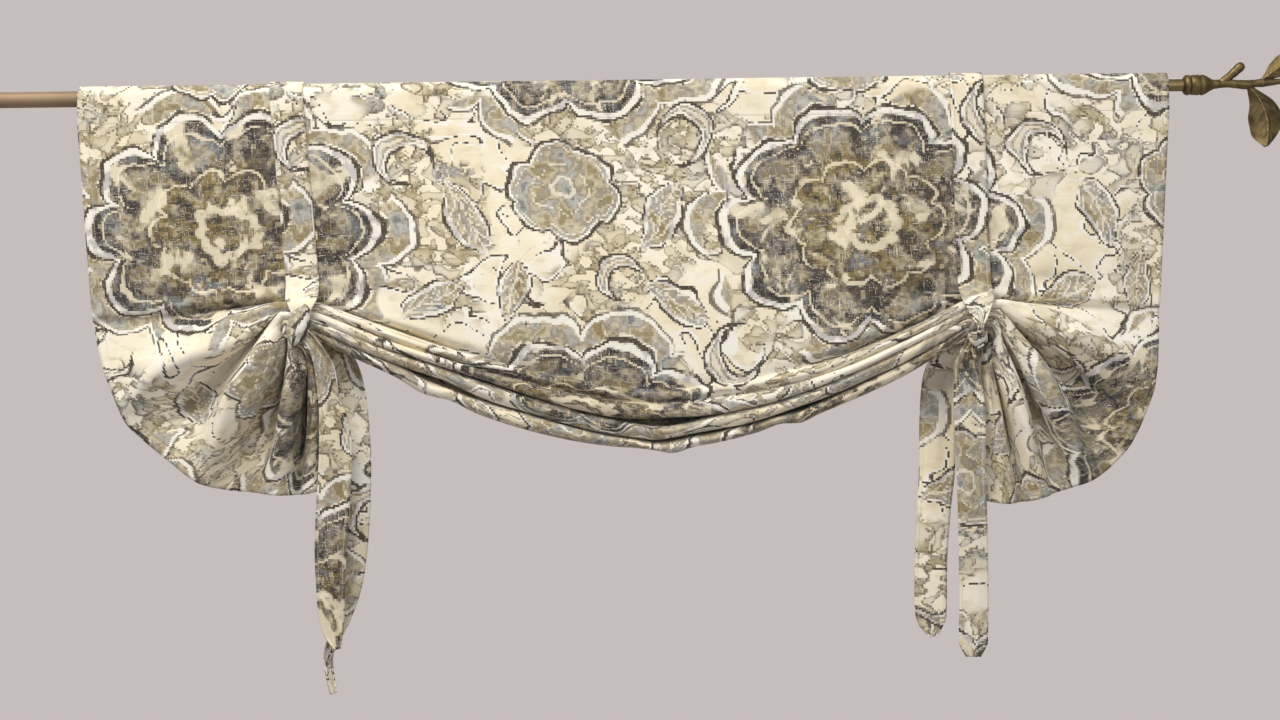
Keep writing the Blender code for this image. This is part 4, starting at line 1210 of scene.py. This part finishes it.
def make_flower():
    """A lobed flower head: a body of petals and rings, a pale band and an inked edge."""
    tree, given, out = new_group("printed flower", (("Place", "vector"), ("Lobes", "value")),
                                 (*MOTIF_MASKS, ("Petals", "value"), ("Share", "value")))
    x, y = across_and_up(tree, given["Place"])
    angle = maths(tree, "ARCTAN2", y, x)
    half_turns = maths(tree, "MULTIPLY", maths(tree, "MULTIPLY", angle, given["Lobes"]), 0.5)
    lobe = maths(tree, "ABSOLUTE", maths(tree, "COSINE", half_turns))
    rounded = maths(tree, "POWER", lobe, LOBE_ROUNDNESS)
    reach = maths(tree, "MULTIPLY_ADD", rounded, LOBE_REACH, LOBE_GAP_REACH)
    share = maths(tree, "DIVIDE", vector_maths(tree, "LENGTH", given["Place"]), reach)
    wire_rings(tree, out, share, FLOWER_RINGS)
    outer_petals = both(tree, rise(tree, lobe, 0.42, 0.52), near(tree, share, 0.70, 0.14))
    inner_lobe = maths(tree, "ABSOLUTE", maths(tree, "SINE", half_turns))
    inner_petals = both(tree, rise(tree, inner_lobe, 0.50, 0.60), near(tree, share, 0.38, 0.10))
    wire(tree, out["Petals"], maths(tree, "MAXIMUM", outer_petals, inner_petals))
    rings = maths(tree, "MAXIMUM", near(tree, share, 0.865, 0.012), near(tree, share, 0.53, 0.016))
    wire(tree, out["Marks"], maths(tree, "MAXIMUM", rings, near(tree, share, 0.20, 0.045)))
    wire(tree, out["Share"], share)
    return tree


def make_leaf():
    """A pointed leaf with a pale band and an inked edge. It lies along x, from -1 to 1."""
    tree, given, out = new_group("printed leaf", (("Place", "vector"),), MOTIF_MASKS)
    x, y = across_and_up(tree, given["Place"])
    fullness = maths(tree, "SUBTRACT", 1.0, maths(tree, "MULTIPLY", x, x))
    aside = maths(tree, "ABSOLUTE", y)
    share = maths(tree, "DIVIDE", aside, maths(tree, "MAXIMUM", fullness, 0.02))
    wire_rings(tree, out, share, LEAF_RINGS)
    slant = maths(tree, "ADD", maths(tree, "MULTIPLY", x, 3.5), maths(tree, "MULTIPLY", aside, -2.5))
    rib = near(tree, maths(tree, "FRACT", slant), 0.5, 0.12)
    wire(tree, out["Marks"], maths(tree, "MAXIMUM", near(tree, aside, 0.0, 0.07), rib))
    return tree


def make_hook():
    """A hooked scroll, the part of one disc that another leaves, with an inked edge."""
    tree, given, out = new_group("printed hook", (("Place", "vector"),), MOTIF_MASKS)
    outer = vector_maths(tree, "LENGTH", given["Place"])
    bite = vector_maths(tree, "LENGTH", moved(tree, given["Place"], (-0.34, 0.16, 0.0)))
    share = maths(tree, "MAXIMUM", outer, maths(tree, "SUBTRACT", 1.86, bite))
    wire_rings(tree, out, share, HOOK_RINGS)
    wire(tree, out["Marks"], near(tree, share, 0.78, 0.05))
    return tree


# The print's repeat, with each motif's centre, half length and half width in flat metres and
# its turn in degrees
REPEAT = (0.64, 0.46)
Motif = namedtuple("Motif", "kind x down long wide turn")
BIG_FLOWERS = (
    Motif("flower", -0.400, 0.112, 0.150, 0.122, 0),
    Motif("flower", -0.055, 0.345, 0.150, 0.122, 0),
)
SMALL_MOTIFS = (
    Motif("hook", -0.225, 0.040, 0.030, 0.026, 20),
    Motif("hook", -0.215, 0.300, 0.032, 0.028, 200),
    Motif("hook", 0.062, 0.020, 0.030, 0.026, 115),
    Motif("hook", 0.100, 0.245, 0.032, 0.028, 300),
    Motif("leaf", -0.120, 0.175, 0.034, 0.015, 100),
    Motif("hook", -0.010, 0.165, 0.026, 0.022, 20),
    Motif("leaf", -0.165, 0.100, 0.040, 0.018, 62),
    Motif("leaf", -0.205, 0.185, 0.040, 0.017, -25),
    Motif("leaf", 0.035, 0.100, 0.040, 0.018, -62),
    Motif("leaf", 0.045, 0.190, 0.040, 0.017, 28),
    Motif("leaf", -0.290, 0.290, 0.040, 0.017, 70),
    Motif("leaf", 0.160, 0.330, 0.040, 0.017, -70),
    Motif("flower", -0.065, 0.075, 0.056, 0.050, 15),
    Motif("flower", 0.225, 0.395, 0.050, 0.044, 0),
)
# Washed leaves of the ground: scale, level, shift, and where the crowd of them starts and is full
GROUND_LEAVES = ((34.0, 0.550, (0.0, 0.0, 0.0), 0.41, 0.47),
                 (48.0, 0.560, (3.3, 5.1, 0.0), 0.45, 0.51),
                 (64.0, 0.555, (6.2, 1.4, 0.0), 0.49, 0.54))
GROUND_LEAF_STRETCH = (1.0, 1.35, 1.0)
# Echo of a big flower's outline outside it, from and to as shares of the flower's reach, and the
# width of its soft borders
ECHO_INNER = 1.05
ECHO_OUTER = 1.19
ECHO_SOFT = 0.01
FLOWER_LOBES = 10.0
SMALL_FLOWER_LOBES = 6.0
SMALL_FLOWER_EDGE = (1.035, 0.044)
PATCH_STEP = 0.0034
SQUARE_STEP = 0.0046
# Swings of the drawn lines, and of the ground's washed leaves: metres, scale and detail
DRAWN_SWING = (0.024, 28.0, 1.5)
GROUND_SWING = (0.016, 22.0, 1.0)


def motif_place(tree, drawn, motif):
    """A motif's own measures, from -1 to 1 across it, everywhere that it repeats."""
    wrap = tree.nodes.new("ShaderNodeVectorMath")
    wrap.operation = "WRAP"
    wire(tree, wrap.inputs[0], moved(tree, drawn, (-motif.x, motif.down, 0.0)))
    wrap.inputs[1].default_value = (REPEAT[0] / 2, REPEAT[1] / 2, 0.0)
    wrap.inputs[2].default_value = (-REPEAT[0] / 2, -REPEAT[1] / 2, 0.0)
    place = wrap.outputs["Vector"]
    if motif.turn:
        rotate = tree.nodes.new("ShaderNodeVectorRotate")
        rotate.rotation_type = "Z_AXIS"
        wire(tree, rotate.inputs["Vector"], place)
        rotate.inputs["Angle"].default_value = math.radians(motif.turn)
        place = rotate.outputs["Vector"]
    return stretched(tree, place, (1.0 / motif.long, 1.0 / motif.wide, 0.0))


def ramp(tree, value, stops):
    """A colour for each stretch of value, with soft borders between them."""
    node = tree.nodes.new("ShaderNodeValToRGB")
    node.color_ramp.interpolation = "EASE"
    wire(tree, node.inputs["Fac"], value)
    points = node.color_ramp.elements
    while len(points) < len(stops):
        points.new(0.5)
    for point, (position, colour) in zip(points, stops):
        point.position = position
        point.color = colour
    return node.outputs["Color"]


def snapped(tree, place, step):
    """Place in even steps, which gives the drawn lines their small stairs."""
    return vector_maths(tree, "SNAP", place, (step,) * 3)


def blotches(tree, soft_place, drawn_place, scale, level, gate, ink_gate):
    """Washed leaves: their soft mask, dark towards the rim, and a broken inked rim."""
    height = grain(tree, soft_place, scale, 0.4, 0.4, 0.35)
    body = both(tree, rise(tree, height, level - 0.004, level + 0.030), gate)
    rim_shade = fall(tree, height, level + 0.010, level + 0.11)
    drawn = grain(tree, drawn_place, scale, 0.4, 0.4, 0.35)
    rim = both(tree, near(tree, drawn, level + 0.002, 0.018, 0.5), gate, ink_gate)
    return body, rim_shade, rim


def make_dark_body(tree, flat, stepped):
    """Worn dark cloth of the big flowers: squared patches of many darks, with bare threads.

    It comes in two families: browns for the middle, and greys for the rim.
    """
    blocks = snapped(tree, moved(tree, flat, (3.1, 4.7, 0.0)), PATCH_STEP)
    family = grain(tree, blocks, 26.0, 2.5, 0.60, 0.5)
    browns = ramp(tree, family, ((0.32, SLATE), (0.39, UMBER), (0.45, OLIVE), (0.50, DARK_OLIVE),
                                 (0.56, CHARCOAL), (0.62, UMBER), (0.70, SAND)))
    greys = ramp(tree, family, ((0.32, PALE_SLATE), (0.39, SLATE), (0.45, CHARCOAL), (0.51, SOOT),
                                (0.57, CHARCOAL), (0.63, SLATE), (0.70, TAUPE)))
    return wear(tree, browns, flat, stepped), wear(tree, greys, flat, stepped)


def wear(tree, body, flat, stepped):
    """Small squares, bare patches and their soft borders over a dark cloth."""
    squares = grain(tree, snapped(tree, flat, SQUARE_STEP), 120.0, 1.0, 0.6)
    body = lay(tree, body, SOOT, rise(tree, squares, 0.50, 0.60), 0.50)
    body = lay(tree, body, SAND, fall(tree, squares, 0.33, 0.41), 0.45)
    bare = grain(tree, moved(tree, stepped, (5.5, 1.5, 0.0)), 24.0, 3.0, 0.62, 0.6)
    body = lay(tree, body, BUTTER, rise(tree, bare, 0.56, 0.61), 0.85)
    return lay(tree, body, TAUPE, near(tree, bare, 0.545, 0.018), 0.6)


def make_flecks(tree, flat, stepped):
    """Undyed thick threads: short pale dashes both ways, in loose clusters, and small dots."""
    across = grain(tree, stretched(tree, flat, (75.0, 760.0, 1.0)), 1.0, 2.0, 0.7)
    down = grain(tree, stretched(tree, moved(tree, flat, (7.0, 2.0, 0.0)), (760.0, 60.0, 1.0)),
                 1.0, 2.0, 0.7)
    dots = grain(tree, flat, 520.0, 1.0, 0.5)
    cluster = rise(tree, grain(tree, stepped, 34.0, 2.0, 0.6), 0.42, 0.60)
    dashes = maths(tree, "MAXIMUM", rise(tree, across, 0.60, 0.70), rise(tree, down, 0.60, 0.70))
    marks = maths(tree, "MAXIMUM", dashes, maths(tree, "MULTIPLY", rise(tree, dots, 0.62, 0.70), 0.8))
    return both(tree, marks, maths(tree, "MULTIPLY_ADD", cluster, 0.75, 0.25))


def make_ground(tree, flat, stepped, wash, worn):
    """Cream cloth under washed leaves, each with a soft dark rim and broken lines."""
    colour = lay(tree, BUTTER, CREAM, rise(tree, wash, 0.40, 0.60))
    soft = grain(tree, stretched(tree, flat, (50.0, 75.0, 1.0)), 1.0, 2.0, 0.5)
    colour = lay(tree, colour, SAND, rise(tree, soft, 0.50, 0.72), 0.50)
    colour = lay(tree, colour, CHALK, fall(tree, soft, 0.32, 0.46), 0.50)
    crowd = grain(tree, moved(tree, stepped, (2.5, 9.5, 0.0)), 9.0, 1.0, 0.5, 0.4)
    tint = grain(tree, moved(tree, stepped, (8.1, 0.7, 0.0)), 16.0, 1.0, 0.5)
    bend = soft_swings(tree, flat, *GROUND_SWING)
    wash_tone = ramp(tree, tint, ((0.34, PALE_SLATE), (0.44, STONE), (0.52, PALE_OLIVE),
                                  (0.60, STONE), (0.70, PALE_SLATE)))
    rim_tone = ramp(tree, tint, ((0.36, SLATE), (0.46, TAUPE), (0.56, OLIVE), (0.66, TAUPE)))
    for scale, level, shift, low, high in GROUND_LEAVES:
        gate = rise(tree, crowd, low, high)
        soft_place, drawn_place = (
            stretched(tree, moved(tree, moved(tree, bed, bend), shift), GROUND_LEAF_STRETCH)
            for bed in (flat, stepped))
        body, rim_shade, rim = blotches(tree, soft_place, drawn_place, scale, level, gate, worn)
        tone_here = lay(tree, wash_tone, rim_tone, rim_shade, 0.80)
        depth = maths(tree, "MULTIPLY_ADD", rim_shade, 0.48, 0.42)
        colour = lay(tree, colour, tone_here, both(tree, body, depth))
        colour = lay(tree, colour, BROWN_LINE, rim, 0.80)
    return colour, crowd


def lay_vines(tree, colour, drawn, crowd, worn):
    """Fine inked lines beside a pale ribbon, between the crowds of washed leaves."""
    vine = grain(tree, moved(tree, drawn, (4.4, 8.3, 0.0)), 11.0, 1.0, 0.4, 1.8)
    gate = fall(tree, crowd, 0.48, 0.56)
    colour = lay(tree, colour, CHALK, both(tree, near(tree, vine, 0.500, 0.016), gate))
    return lay(tree, colour, INK, both(tree, near(tree, vine, 0.5230, 0.0115), gate, worn))


def lay_echo(tree, colour, share, leaf_tone, stepped, worn):
    """Broken echo of a big flower's outline: a soft leaf tone, a pale band and an inked edge."""
    gate = rise(tree, grain(tree, moved(tree, stepped, (1.7, 6.1, 0.0)), 9.0, 0.0), 0.44, 0.46)
    echo = both(tree, rise(tree, share, ECHO_INNER - ECHO_SOFT, ECHO_INNER),
                fall(tree, share, ECHO_OUTER - ECHO_SOFT, ECHO_OUTER), gate)
    colour = lay(tree, colour, leaf_tone, echo, 0.85)
    band = both(tree, near(tree, share, ECHO_OUTER + 0.018, 0.024, 0.2), gate)
    colour = lay(tree, colour, CHALK, band, 0.9)
    edge = both(tree, near(tree, share, ECHO_OUTER + 0.050, 0.016), gate, worn)
    return lay(tree, colour, INK, edge, 0.85)


def make_print(flower, leaf, hook):
    """The print on the cloth, from its flat measures in metres."""
    tree, given, out = new_group("printed pattern", (("Flat", "vector"),), (("Colour", "colour"),))
    flat = given["Flat"]
    stepped = snapped(tree, flat, PRINT_STEP)
    drawn = moved(tree, stepped, soft_swings(tree, stepped, *DRAWN_SWING))
    wash = grain(tree, flat, 8.0, 2.0, 0.6)
    mottle = grain(tree, moved(tree, stepped, (6.0, 3.0, 0.0)), 42.0, 2.0, 0.60)
    worn = rise(tree, grain(tree, stepped, 60.0, 2.0, 0.6), 0.30, 0.44)
    fleck = make_flecks(tree, flat, stepped)
    colour, crowd = make_ground(tree, flat, stepped, wash, worn)
    colour = lay_vines(tree, colour, drawn, crowd, worn)
    leaf_tone = ramp(tree, mottle, ((0.32, SLATE), (0.40, PALE_SLATE), (0.48, TAUPE), (0.54, STONE),
                                    (0.60, OLIVE), (0.68, TAUPE)))
    band_tone = lay(tree, CHALK, LILAC_GREY, rise(tree, mottle, 0.50, 0.58))
    brown_body, grey_body = make_dark_body(tree, flat, stepped)
    big_flowers = [place_group(tree, flower, Place=motif_place(tree, drawn, motif),
                               Lobes=FLOWER_LOBES) for motif in BIG_FLOWERS]
    for found in big_flowers:
        colour = lay_echo(tree, colour, found["Share"], leaf_tone, stepped, worn)
    for motif in SMALL_MOTIFS:
        place = motif_place(tree, drawn, motif)
        if motif.kind == "flower":
            found = place_group(tree, flower, Place=place, Lobes=SMALL_FLOWER_LOBES)
            edge = near(tree, found["Share"], *SMALL_FLOWER_EDGE)
        else:
            found = place_group(tree, hook if motif.kind == "hook" else leaf, Place=place)
            edge = found["Edge"]
        body = lay(tree, leaf_tone, CREAM, found["Marks"], 0.7)
        colour = lay(tree, colour, body, found["Body"], 0.9)
        colour = lay(tree, colour, band_tone, found["Band"], 0.85)
        colour = lay(tree, colour, INK, both(tree, edge, worn))
    for found in big_flowers:
        body = lay(tree, brown_body, grey_body, rise(tree, found["Share"], 0.52, 0.74), 0.85)
        petals = both(tree, found["Petals"], rise(tree, mottle, 0.40, 0.56))
        body = lay(tree, body, leaf_tone, petals, 0.7)
        body = lay(tree, body, BUTTER, both(tree, found["Marks"], worn), 0.75)
        body = lay(tree, body, CHALK, fleck, 0.65)
        colour = lay(tree, colour, body, found["Body"])
        colour = lay(tree, colour, band_tone, found["Band"], 0.92)
        colour = lay(tree, colour, INK, both(tree, found["Edge"], worn))
    wire(tree, out["Colour"], lay(tree, colour, CREAM, fleck, 0.35))
    return tree


# How often the threads' unevenness comes in a metre, across a thread and along it
THREAD_RATES = (1500.0, 60.0)
SLUB_RATES = (700.0, 22.0)
THREAD_HEIGHT = 0.00025
# Half widths of a stitched line, of the step of the hem beyond it and of the groove round it
STITCH_HALF_WIDTH = 0.00045
HEM_STEP_HALF = 0.0008
GROOVE_HALF_WIDTH = 0.0016
BACK_FADE = 0.72


def make_weave():
    """Plain slub weave: height of the threads, and thick and thin places in them."""
    tree, given, out = new_group("slub weave", (("Flat", "vector"),),
                                 (("Height", "value"), ("Slub", "value")))
    flat = given["Flat"]
    over, along = THREAD_RATES
    warp = grain(tree, stretched(tree, flat, (over, along, 1.0)), 1.0, 1.0, 0.5)
    weft = grain(tree, stretched(tree, flat, (along, over, 1.0)), 1.0, 1.0, 0.5)
    over, along = SLUB_RATES
    slub = grain(tree, stretched(tree, flat, (along, over, 1.0)), 1.0, 2.0, 0.6)
    slub = rise(tree, slub, 0.55, 0.75)
    height = maths(tree, "ADD", maths(tree, "ADD", warp, weft), slub)
    wire(tree, out["Height"], height)
    wire(tree, out["Slub"], slub)
    return tree


def make_stitches():
    """Sewn lines: short stitches along the line, and the step of the turned-in hem beyond it."""
    tree, given, out = new_group("sewn hem", (("Flat", "vector"), ("Inside", "value")),
                                 (("Thread", "value"), ("Height", "value")))
    x, y = across_and_up(tree, given["Flat"])
    run = maths(tree, "ADD", x, y)
    phase = maths(tree, "FRACT", maths(tree, "MULTIPLY", run, 1.0 / STITCH_LENGTH))
    stitch = near(tree, phase, 0.5, 0.40, 0.3)
    line = near(tree, given["Inside"], 0.0, STITCH_HALF_WIDTH, 0.5)
    thread = both(tree, stitch, line)
    wire(tree, out["Thread"], thread)
    step = fall(tree, given["Inside"], -HEM_STEP_HALF, HEM_STEP_HALF)
    groove = near(tree, given["Inside"], 0.0, GROOVE_HALF_WIDTH, 0.9)
    height = maths(tree, "SUBTRACT", maths(tree, "MULTIPLY", step, 2.2), groove)
    wire(tree, out["Height"], maths(tree, "MULTIPLY_ADD", thread, 1.2, height))
    return tree


def new_material(name):
    made = bpy.data.materials.new(name)
    made.use_nodes = True
    tree = made.node_tree
    return made, tree, tree.nodes["Principled BSDF"]


def add_bump(tree, shader, height, distance, strength):
    bump = tree.nodes.new("ShaderNodeBump")
    bump.inputs["Distance"].default_value = distance
    bump.inputs["Strength"].default_value = strength
    tree.links.new(height, bump.inputs["Height"])
    tree.links.new(bump.outputs["Normal"], shader.inputs["Normal"])


def cloth_material(name, pattern, weave, stitches, faded=0.0):
    """Printed cotton, its print faded as at the cloth's back."""
    made, tree, shader = new_material(name)
    flat = tree.nodes.new("ShaderNodeUVMap")
    flat.uv_map = FLAT_MAP
    inside = tree.nodes.new("ShaderNodeAttribute")
    inside.attribute_name = STITCH_MAP
    printed = place_group(tree, pattern, Flat=flat.outputs["UV"])
    threads = place_group(tree, weave, Flat=flat.outputs["UV"])
    sewn = place_group(tree, stitches, Flat=flat.outputs["UV"], Inside=inside.outputs["Fac"])
    colour = printed["Colour"]
    if faded:
        colour = lay(tree, colour, CLOTH_BACK, faded)
    shade = rise(tree, threads["Height"], 0.2, 1.6)
    colour = lay(tree, colour, STONE, fall(tree, shade, 0.0, 0.55), 0.28)
    colour = lay(tree, colour, THREAD, sewn["Thread"], 0.75)
    wire(tree, shader.inputs["Base Color"], colour)
    roughness = maths(tree, "SUBTRACT", 0.88, maths(tree, "MULTIPLY", threads["Slub"], 0.10))
    wire(tree, shader.inputs["Roughness"], roughness)
    shader.inputs["Sheen Weight"].default_value = 0.15
    shader.inputs["Sheen Roughness"].default_value = 0.5
    shader.inputs["Specular IOR Level"].default_value = 0.25
    height = maths(tree, "ADD", threads["Height"], sewn["Height"])
    add_bump(tree, shader, height, THREAD_HEIGHT, 0.55)
    return made


# Metals of the rod: light and dark tone, roughness and scale of the dull patches
Metal = namedtuple("Metal", "light dark roughness patchy")
SATIN_BRASS = Metal(tone(180, 158, 134), tone(161, 139, 116), 0.76, 9.0)
AGED_BRASS = Metal(tone(150, 132, 96), tone(92, 78, 56), 0.42, 30.0)
DRAWN_LINES = (8.0, 900.0, 900.0)
# The finial's bronze: two tones of its body, and the tone of its rubbed edges
BRONZE_TONES = (tone(98, 84, 59), tone(124, 107, 75), tone(150, 132, 94))


def metal_material(name, metal):
    """Drawn metal, dulled in soft patches, with fine lines along it."""
    made, tree, shader = new_material(name)
    coords = tree.nodes.new("ShaderNodeTexCoord").outputs["Object"]
    tarnish = grain(tree, coords, metal.patchy, 3.0, 0.55)
    colour = lay(tree, metal.light, metal.dark, rise(tree, tarnish, 0.35, 0.68))
    wire(tree, shader.inputs["Base Color"], colour)
    shader.inputs["Metallic"].default_value = 1.0
    lines = grain(tree, stretched(tree, coords, DRAWN_LINES), 1.0, 2.0, 0.6)
    roughness = maths(tree, "MULTIPLY_ADD", lines, 0.16, metal.roughness - 0.08)
    wire(tree, shader.inputs["Roughness"], roughness)
    add_bump(tree, shader, lines, 0.0002, 0.25)
    return made


def bronze_material():
    """Dark olive bronze, rubbed bright along its raised edges and dulled in its hollows."""
    made, tree, shader = new_material("olive bronze")
    coords = tree.nodes.new("ShaderNodeTexCoord").outputs["Object"]
    worn = tree.nodes.new("ShaderNodeNewGeometry").outputs["Pointiness"]
    cloud = grain(tree, coords, 90.0, 2.0, 0.5)
    dark, light, rubbed = BRONZE_TONES
    colour = lay(tree, dark, light, rise(tree, cloud, 0.38, 0.62))
    colour = lay(tree, colour, rubbed, rise(tree, worn, 0.51, 0.57))
    wire(tree, shader.inputs["Base Color"], colour)
    shader.inputs["Metallic"].default_value = 1.0
    wire(tree, shader.inputs["Roughness"], maths(tree, "MULTIPLY_ADD", cloud, 0.30, 0.38))
    pits = grain(tree, coords, 900.0, 2.0, 0.6)
    add_bump(tree, shader, pits, 0.0003, 0.35)
    return made


def dress_node(node, finish):
    made = bpy.data.objects[node]
    made.data.materials.clear()
    made.data.materials.append(finish)


# Stage

FLOOR_Z = -2.1
BACKGROUND = tone(198, 190, 188)
FLOOR_TONE = tone(204, 198, 194)
ROOM_TONE = tone(184, 190, 197)
ROOM_LIGHT = 0.62
LAMP_TONE = (1.0, 0.95, 0.86)
FLOOR_R = 9.0
PAPER_SHARE = 0.8
# Lamps, all turned to the middle of the cloth: place, width and height, and power
LAMPS_AIM = (0.0, 0.0, -0.2)
LAMPS = {"overhead softbox": ((-0.9, -1.6, 1.9), (1.8, 1.0), 70.0),
         "front fill": ((1.4, -2.6, 0.2), (1.6, 1.6), 13.0),
         "back fill": ((0.9, 2.4, 1.2), (1.8, 1.2), 34.0)}
PIXEL = 0.001009
PICTURE_WIDTH = 1280
CAMERA_RANGE = 2.4
CAMERA_X = 0.0151
CAMERA_Z = -0.2704
CAMERA_ROLL = math.radians(0.745)
SENSOR_WIDTH = 36.0


def make_floor():
    """Pale floor, which the camera sees as nearly even paper."""
    bpy.ops.object.select_all(action="DESELECT")
    bpy.ops.mesh.primitive_circle_add(vertices=64, radius=FLOOR_R, fill_type="NGON",
                                      location=(0.0, 0.0, FLOOR_Z))
    floor = bpy.context.object
    floor.name = "floor"
    made, tree, shader = new_material("pale floor")
    shader.inputs["Base Color"].default_value = BACKGROUND
    shader.inputs["Roughness"].default_value = 0.9
    paper = tree.nodes.new("ShaderNodeEmission")
    paper.inputs["Color"].default_value = FLOOR_TONE
    mix = tree.nodes.new("ShaderNodeMixShader")
    seen = tree.nodes.new("ShaderNodeLightPath").outputs["Is Camera Ray"]
    wire(tree, mix.inputs["Fac"], maths(tree, "MULTIPLY", seen, PAPER_SHARE))
    tree.links.new(shader.outputs[0], mix.inputs[1])
    tree.links.new(paper.outputs[0], mix.inputs[2])
    tree.links.new(mix.outputs[0], tree.nodes["Material Output"].inputs["Surface"])
    floor.data.materials.append(made)


def make_room():
    """Even light from all sides, and the pale backdrop that the camera sees."""
    world = bpy.data.worlds.new("pale room")
    world.use_nodes = True
    tree = world.node_tree
    seen = tree.nodes["Background"]
    seen.inputs["Color"].default_value = BACKGROUND
    felt = tree.nodes.new("ShaderNodeBackground")
    felt.inputs["Color"].default_value = ROOM_TONE
    felt.inputs["Strength"].default_value = ROOM_LIGHT
    choose = tree.nodes.new("ShaderNodeMixShader")
    tree.links.new(tree.nodes.new("ShaderNodeLightPath").outputs["Is Camera Ray"],
                   choose.inputs["Fac"])
    tree.links.new(felt.outputs[0], choose.inputs[1])
    tree.links.new(seen.outputs[0], choose.inputs[2])
    tree.links.new(choose.outputs[0], tree.nodes["World Output"].inputs["Surface"])
    bpy.context.scene.world = world
    bpy.context.scene.view_settings.view_transform = "Standard"


def add_lamp(name, place, size, watts):
    data = bpy.data.lights.new(name, "AREA")
    data.shape = "RECTANGLE"
    data.size, data.size_y = size
    data.energy = watts
    data.color = LAMP_TONE
    made = bpy.data.objects.new(name, data)
    bpy.context.collection.objects.link(made)
    made.location = place
    made.rotation_euler = (Vector(LAMPS_AIM) - Vector(place)).to_track_quat("-Z", "Y").to_euler()


def make_camera():
    data = bpy.data.cameras.new("camera")
    data.sensor_width = SENSOR_WIDTH
    data.lens = SENSOR_WIDTH * CAMERA_RANGE / (PICTURE_WIDTH * PIXEL)
    made = bpy.data.objects.new("camera", data)
    bpy.context.collection.objects.link(made)
    made.location = (CAMERA_X, -CAMERA_RANGE, CAMERA_Z)
    made.rotation_euler = (math.pi / 2, CAMERA_ROLL, 0.0)
    bpy.context.scene.camera = made


def main():
    make_camera()
    make_floor()
    make_room()
    for name, (place, size, watts) in LAMPS.items():
        add_lamp(name, place, size, watts)
    pattern = make_print(make_flower(), make_leaf(), make_hook())
    weave = make_weave()
    stitches = make_stitches()
    face = cloth_material("printed cotton", pattern, weave, stitches)
    back = cloth_material("printed cotton back", pattern, weave, stitches, faded=BACK_FADE)
    make_panel([face, back])
    make_tie(LEFT_TIE, LEFT_KNOT, LEFT_FRONT_TAIL, LEFT_BACK_TAIL, LEFT_CUTS, face)
    make_tie(RIGHT_TIE, RIGHT_KNOT, RIGHT_FRONT_TAIL, RIGHT_BACK_TAIL, RIGHT_CUTS, face)
    brass = metal_material("satin brass", SATIN_BRASS)
    dress_node("rod_outer_tube", brass)
    dress_node("rod_end_cap", brass)
    dress_node("rod_inner_tube", metal_material("aged brass", AGED_BRASS))
    make_finial(bronze_material())


main()
